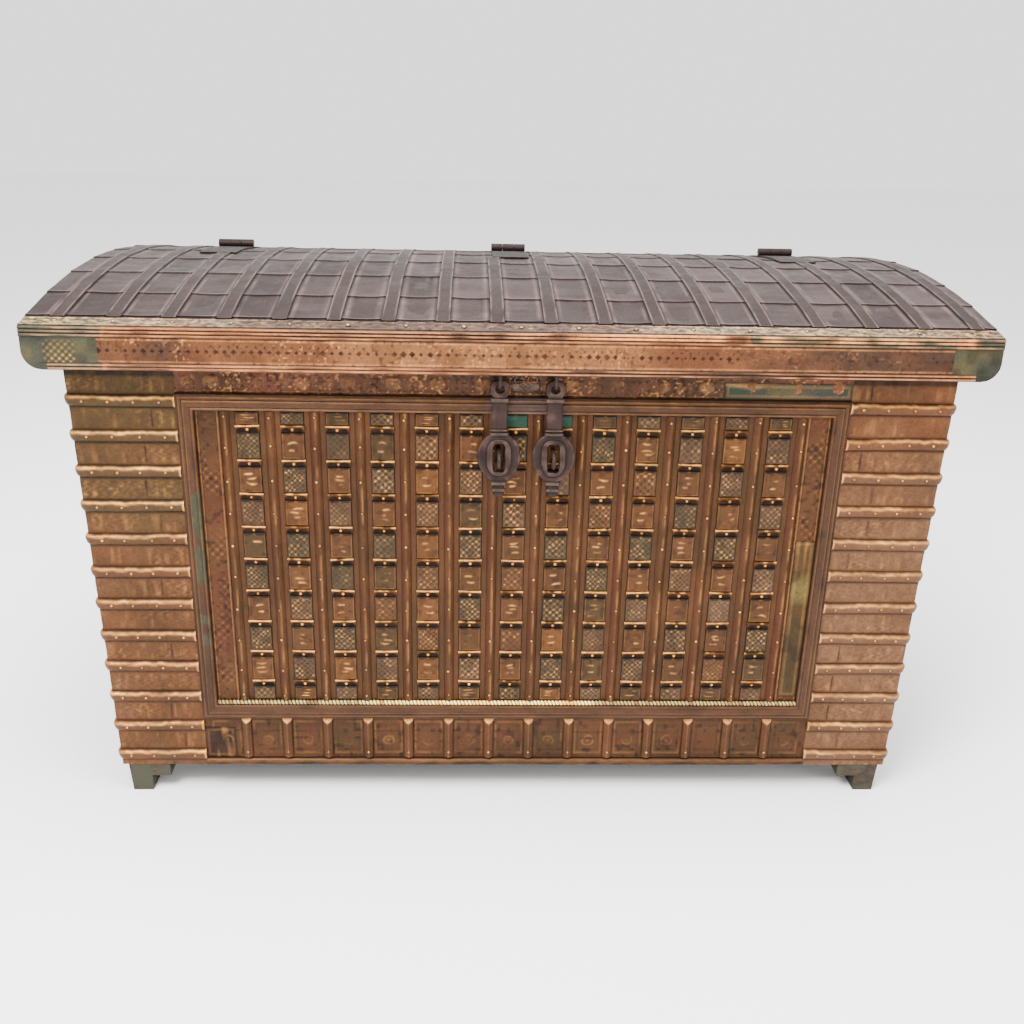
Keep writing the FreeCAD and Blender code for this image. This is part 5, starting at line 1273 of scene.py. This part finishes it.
# Skins and ribs of the lid and of the fixed strip behind it, and the border with its nails
def domePieces():
    addPiece("lidSkin", [domeSheet("lid_sheets", 801)], "lidPlum", "lid_sheets", body="lid")
    low, high = nodePoints("lid_border_sheet").min(0), nodePoints("lid_border_sheet").max(0)
    spots = np.arange(low[0] + 0.05, high[0] - 0.02, dome["nailPitch"])
    centres = onDome(spots, (low[1] + high[1]) / 2, 0.4 * mm)
    heads = nailBatch(centres, domeNormals(centres), dome["nail"] * 1.2, dome["nailHeight"], 831)
    border = domeSheet("lid_border_sheet", 821, border=True)
    addPiece("lidBorder", [border, heads], "borderGrey", "lid_border_sheet", body="lid")
    addPiece("rearSkin", [domeSheet("rear_sheet", 841)], "lidPlum", "rear_sheet")
    domeRibs("lid_ribs", "lid", "lidRibs", 900)
    domeRibs("rear_ribs", "carcass", "rearRibs", 1200)


domePieces()


# Hasps: an eye, a necked bar with collars, the slotted oval and a tail with two rings, each a closed forged shell

haspForm = {
    "around": 64, "eyeDown": 15.0 * mm, "ovalDown": 127.0 * mm,
    "eyeHole": (6 * mm, 6 * mm, 1.0, 0), "eyeEdge": (14.8 * mm, 14.8 * mm, 0.72, 0),
    "slot": (9 * mm, 23 * mm, 0.3, 0), "oval": (34.8 * mm, 40.8 * mm, 0.92, 0.2),
    # share from the opening to the edge, height in front of the back face, rub-and-highlight mark and grime-and-shade
    # mark
    "eyeSection": ((0, 0, 0, 1), (0, 4.4 * mm, 0.2, 0.9), (0.2, 6.2 * mm, 0.8, 0), (0.75, 6.2 * mm, 0.3, 0.1),
                   (0.93, 5.4 * mm, 0.7, 0), (1, 3.4 * mm, 0.1, 0.4), (1, 0, 0, 1)),
    "ovalSection": ((0, 0, 0, 1), (0, 5.6 * mm, 0.1, 1), (0.06, 7.0 * mm, 0.8, 0), (0.26, 7.1 * mm, 0.5, 0),
                    (0.36, 6.4 * mm, 0.7, 0), (0.43, 4.6 * mm, 0, 0.9), (0.6, 4.6 * mm, 0.1, 0.3),
                    (0.82, 5.2 * mm, 0.15, 0.1), (0.93, 4.9 * mm, 0.8, 0), (1, 3.2 * mm, 0.2, 0.3), (1, 0, 0, 1)),
    # distance below the top of the eye, half width, height, rub-and-highlight mark and grime-and-shade mark
    "neck": ((23, 12.5, 5.4, 0.1, 0.1), (29.4, 12.5, 5.4, 0, 0.6), (30, 15, 7.4, 1, 0), (35.4, 15, 7.4, 1, 0),
             (36, 12.6, 5.4, 0, 1), (38, 12.6, 5.2, 0.1, 0.3), (60, 12.9, 5.2, 0.15, 0.05), (78, 12.8, 5.2, 0.1, 0.2),
             (79.4, 12.8, 5.2, 0, 0.8), (80, 14.6, 7.0, 0.9, 0), (82.4, 14.6, 7.0, 0.9, 0), (83, 13, 5.4, 0, 1),
             (85, 13, 5.4, 0, 1), (85.6, 15, 7.2, 0.9, 0), (89.4, 15, 7.2, 0.7, 0), (90, 14, 5.6, 0, 0.9),
             (96, 14, 5.0, 0.1, 0.3)),
    "tail": ((161, 15, 5.0, 0.2, 0.3), (167, 12.5, 5.4, 0, 0.9), (168, 12.5, 7.0, 1, 0), (172, 12, 7.0, 1, 0),
             (173, 9.5, 5.4, 0, 1), (178, 9, 5.4, 0.2, 0.6), (179, 11, 7.0, 0.8, 0), (183, 11, 7.0, 0.7, 0),
             (184, 9, 5.4, 0, 1), (190, 8.5, 5.0, 0.2, 0.3), (192.6, 6, 3.5, 0.2, 0.3)),
}


# Rounded outline: sine and cosine to a power below 1 square it off; taper narrows its lower half
def roundedOutline(turn, halfWidth, halfHeight, power, taper):
    sine, cosine = np.sin(turn), np.cos(turn)
    x = halfWidth * np.sign(sine) * np.abs(sine) ** power * (1 - taper * np.clip(-cosine, 0, 1) ** 1.3)
    return x, halfHeight * np.sign(cosine) * np.abs(cosine) ** power


# Plate round an opening: sections from the opening's edge to the outline, set all round and joined into a loop
def openPlate(place, centre, opening, outline, section, around, seed, tint=0.5):
    turn = (np.arange(around) * tau / around)[:, None]
    share, height, rub, dirt = (np.array(column)[None, :] for column in zip(*section))
    innerX, innerZ = roundedOutline(turn, *opening)
    outerX, outerZ = roundedOutline(turn, *outline)
    x = centre[0] + innerX + (outerX - innerX) * share
    z = centre[1] + innerZ + (outerZ - innerZ) * share
    beaten = 1 + 0.05 * noise(x, z, 0.009, seed) * (height > 0)
    blotches = patches(x, z, 0.008, seed + 1, -0.6, 0.6)
    return batch(place(x, z, height * beaten), loop=True, rub=rub * blotches, dirt=dirt,
                 tint=tint + 0.3 * noise(x, z, 0.012, seed + 2))


# Bar of stacked sections: rows of distance, half width, height, rub-and-highlight mark and grime-and-shade mark; each
# section is chamfered in front
def stackedBar(place, centre, top, rows, seed):
    down, half, height, rub, dirt = (np.array(column)[:, None] for column in zip(*rows))
    share = np.array([-1, -1, -0.84, -0.3, 0.3, 0.84, 1, 1])[None, :]
    level = np.array([0, 0.6, 0.96, 1, 1, 0.96, 0.6, 0])[None, :]
    worn = np.array([0, 0.3, 1, 0.6, 0.6, 1, 0.3, 0])[None, :]
    x, z = centre + half * mm * share, top - down * mm
    beaten = 1 + 0.05 * noise(x, z, 0.008, seed)
    return batch(place(x, z, height * mm * level * beaten), rub=rub * worn, dirt=dirt,
                 tint=0.5 + 0.3 * noise(x, z, 0.014, seed + 2))


# A hasp: eye, slotted oval, neck and tail, all standing forward of its back face
def haspPiece(name, node, seed):
    low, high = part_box(node)
    centre, top, back = (low.x + high.x) / 2, high.z, high.y

    def place(x, z, out):
        x, z, out = np.broadcast_arrays(x, z, out)
        return np.stack((x, back - out, z), -1)

    form = haspForm
    shells = [openPlate(place, (centre, top - form["eyeDown"]), form["eyeHole"], form["eyeEdge"], form["eyeSection"],
                        form["around"], seed),
              openPlate(place, (centre, top - form["ovalDown"]), form["slot"], form["oval"], form["ovalSection"],
                        form["around"], seed + 10),
              stackedBar(place, centre, top, form["neck"], seed + 20),
              stackedBar(place, centre, top, form["tail"], seed + 30)]
    addPiece(name, shells, "rustIron", node, body=node.replace("hasp", "hasp_swing"), smooth=30)


haspPiece("haspLeft", "left_hasp", 1501)
haspPiece("haspRight", "right_hasp", 1551)


# Lock plate between the hasps: a bar with a rosette under two loops

lockForm = {"barHeight": 22 * mm, "loopShift": 10.5 * mm, "around": 28,
            "hole": (5.5 * mm, 5.5 * mm, 1.0, 0), "edge": (9 * mm, 9 * mm, 1.0, 0),
            "section": ((0, 0, 0, 1), (0, 1.0 * mm, 0.3, 0.6), (0.3, 2.2 * mm, 0.9, 0), (0.7, 2.2 * mm, 0.9, 0),
                        (1, 1.0 * mm, 0.2, 0.5), (1, 0, 0, 1))}


# Lock plate: a sheet with a rosette, hearts and a laced edge, and two loops side by side on its upper edge
def lockPiece():
    low, high = frontBox("lock_plate")
    centre, hinge = (low[0] + high[0]) / 2, low[1] + lockForm["barHeight"]
    across, up = grid(low, (high[0], hinge), mm)
    x, y = across - centre, up - (low[1] + hinge) / 2
    edge = np.minimum(np.minimum(across - low[0], high[0] - across), np.minimum(up - low[1], hinge - up))
    rosette = rosetteAt(x, y + 2 * mm, 8 * mm)
    lace = bell(edge - 2 * mm, 0.8 * mm) + heartAt(np.abs(x) - 16 * mm, y, 5 * mm)
    relief = np.clip(rosette + lace, 0, 1)
    rim = rise(edge, -0.3 * mm, 0.8 * mm)
    out = low[2] + sheetGauge * rim + 1.3 * mm * relief + 0.3 * mm * dents(across, up, 1601, 0.01)
    dirt = 0.7 * (1 - relief) * patches(across, up, 0.006, 1602, -0.5, 0.5) + bell(np.hypot(x, y + 2 * mm), 1.2 * mm)
    shells = [sheetRings(onFront, across, up, out, low[2], dirt=dirt, rub=0.8 * relief, tint=0.85)]

    def place(x, z, out):
        return onFront(x, z, low[2] + out)

    for side in (-1, 1):
        shells.append(openPlate(place, (centre + side * lockForm["loopShift"], hinge), lockForm["hole"],
                                lockForm["edge"], lockForm["section"], lockForm["around"], 1610 + side, tint=1.0))
    addPiece("lockPlate", shells, "rustIron", "lock_plate", smooth=30)


lockPiece()
print("hasps and lock plate dressed")


# Pieces that keep their own shape and get a finish

kept = {
    "wallTeak": ("front_wall", "back_wall"),
    "endWallTeak": ("left_end_wall", "right_end_wall"),
    "oldTeak": ("floor_boards", "lid_front_rail", "rear_rail", "parting_beam", "lid_planks", "rear_planks"),
    "endTeak": ("lid_left_rail", "lid_right_rail", "rear_end_rails", "lid_cleats"),
    "footPaint": ("front_left_foot", "front_right_foot", "rear_left_foot", "rear_right_foot"),
    "lidPlum": ("lid_end_sheets", "rear_end_sheets"),
    "rustIron": ("lid_hinge_straps", "rear_hinge_straps", "hinge_pins"),
    "paleIron": ("hasp_rings", "hasp_staples"),
}
for finish, names in kept.items():
    for name in names:
        for slot in nodes[name].material_slots:
            slot.material = finishes[finish]
print("kept nodes finished")


# Studio: pale floor, soft light, and the camera at the photograph's angle

studio = {
    "cameraAt": (-0.073, -2.129, 1.194), "lens": 40.5, "yaw": 2.25, "pitch": 20.0, "roll": 1.29,
    "floor": 30.0, "world": 1.8,
    # name, place, aim, width in metres and power in watts
    "lamps": (("keyLamp", (-1.3, -2.3, 3.5), (0, 0, 0.4), 1.8, 350),
              ("fillLamp", (2.6, -2.2, 2.2), (0, 0, 0.4), 3.0, 70),
              ("topLamp", (0.1, -0.4, 3.5), (0, 0, 0.5), 2.2, 225)),
}


# A floor, an even white sky, and round lamps that each face their aim
def buildStudio():
    size = studio["floor"] / 2
    mesh = bpy.data.meshes.new("floor")
    mesh.from_pydata([(-size, -size, 0), (size, -size, 0), (size, size, 0), (-size, size, 0)], [], [(0, 1, 2, 3)])
    floor = bpy.data.objects.new("floor", mesh)
    bpy.context.scene.collection.objects.link(floor)
    material = bpy.data.materials.new("paleFloor")
    material.use_nodes = True
    pale = {"Base Color": (0.95, 0.95, 0.95, 1), "Roughness": 0.9}
    fill(material.node_tree, material.node_tree.nodes["Principled BSDF"], pale)
    mesh.materials.append(material)
    world = bpy.data.worlds.new("studio")
    world.use_nodes = True
    sky = {"Color": (1, 1, 1, 1), "Strength": studio["world"]}
    fill(world.node_tree, world.node_tree.nodes["Background"], sky)
    bpy.context.scene.world = world
    for name, at, aim, width, power in studio["lamps"]:
        lamp = bpy.data.lights.new(name, "AREA")
        lamp.shape = "DISK"
        lamp.size = width
        lamp.energy = power
        holder = bpy.data.objects.new(name, lamp)
        holder.location = at
        holder.rotation_euler = (Vector(aim) - Vector(at)).to_track_quat("-Z", "Y").to_euler()
        bpy.context.scene.collection.objects.link(holder)


# The camera looks along yaw and pitch, then rolls about its own line of sight
def buildCamera():
    camera = bpy.data.cameras.new("camera")
    camera.lens = studio["lens"]
    camera.sensor_width = 36
    camera.clip_end = 100
    holder = bpy.data.objects.new("camera", camera)
    yaw, pitch, roll = (math.radians(studio[key]) for key in ("yaw", "pitch", "roll"))
    ahead = Vector((math.sin(yaw) * math.cos(pitch), math.cos(yaw) * math.cos(pitch), -math.sin(pitch)))
    right = Vector((math.cos(yaw), -math.sin(yaw), 0))
    above = right.cross(ahead)
    rolledRight = right * math.cos(roll) + above * math.sin(roll)
    rolledAbove = above * math.cos(roll) - right * math.sin(roll)
    matrix = holder.matrix_world.to_3x3()
    matrix.col[0], matrix.col[1], matrix.col[2] = rolledRight, rolledAbove, -ahead
    holder.matrix_world = matrix.to_4x4()
    holder.location = studio["cameraAt"]
    bpy.context.scene.collection.objects.link(holder)
    bpy.context.scene.camera = holder


buildStudio()
buildCamera()
print("studio ready")
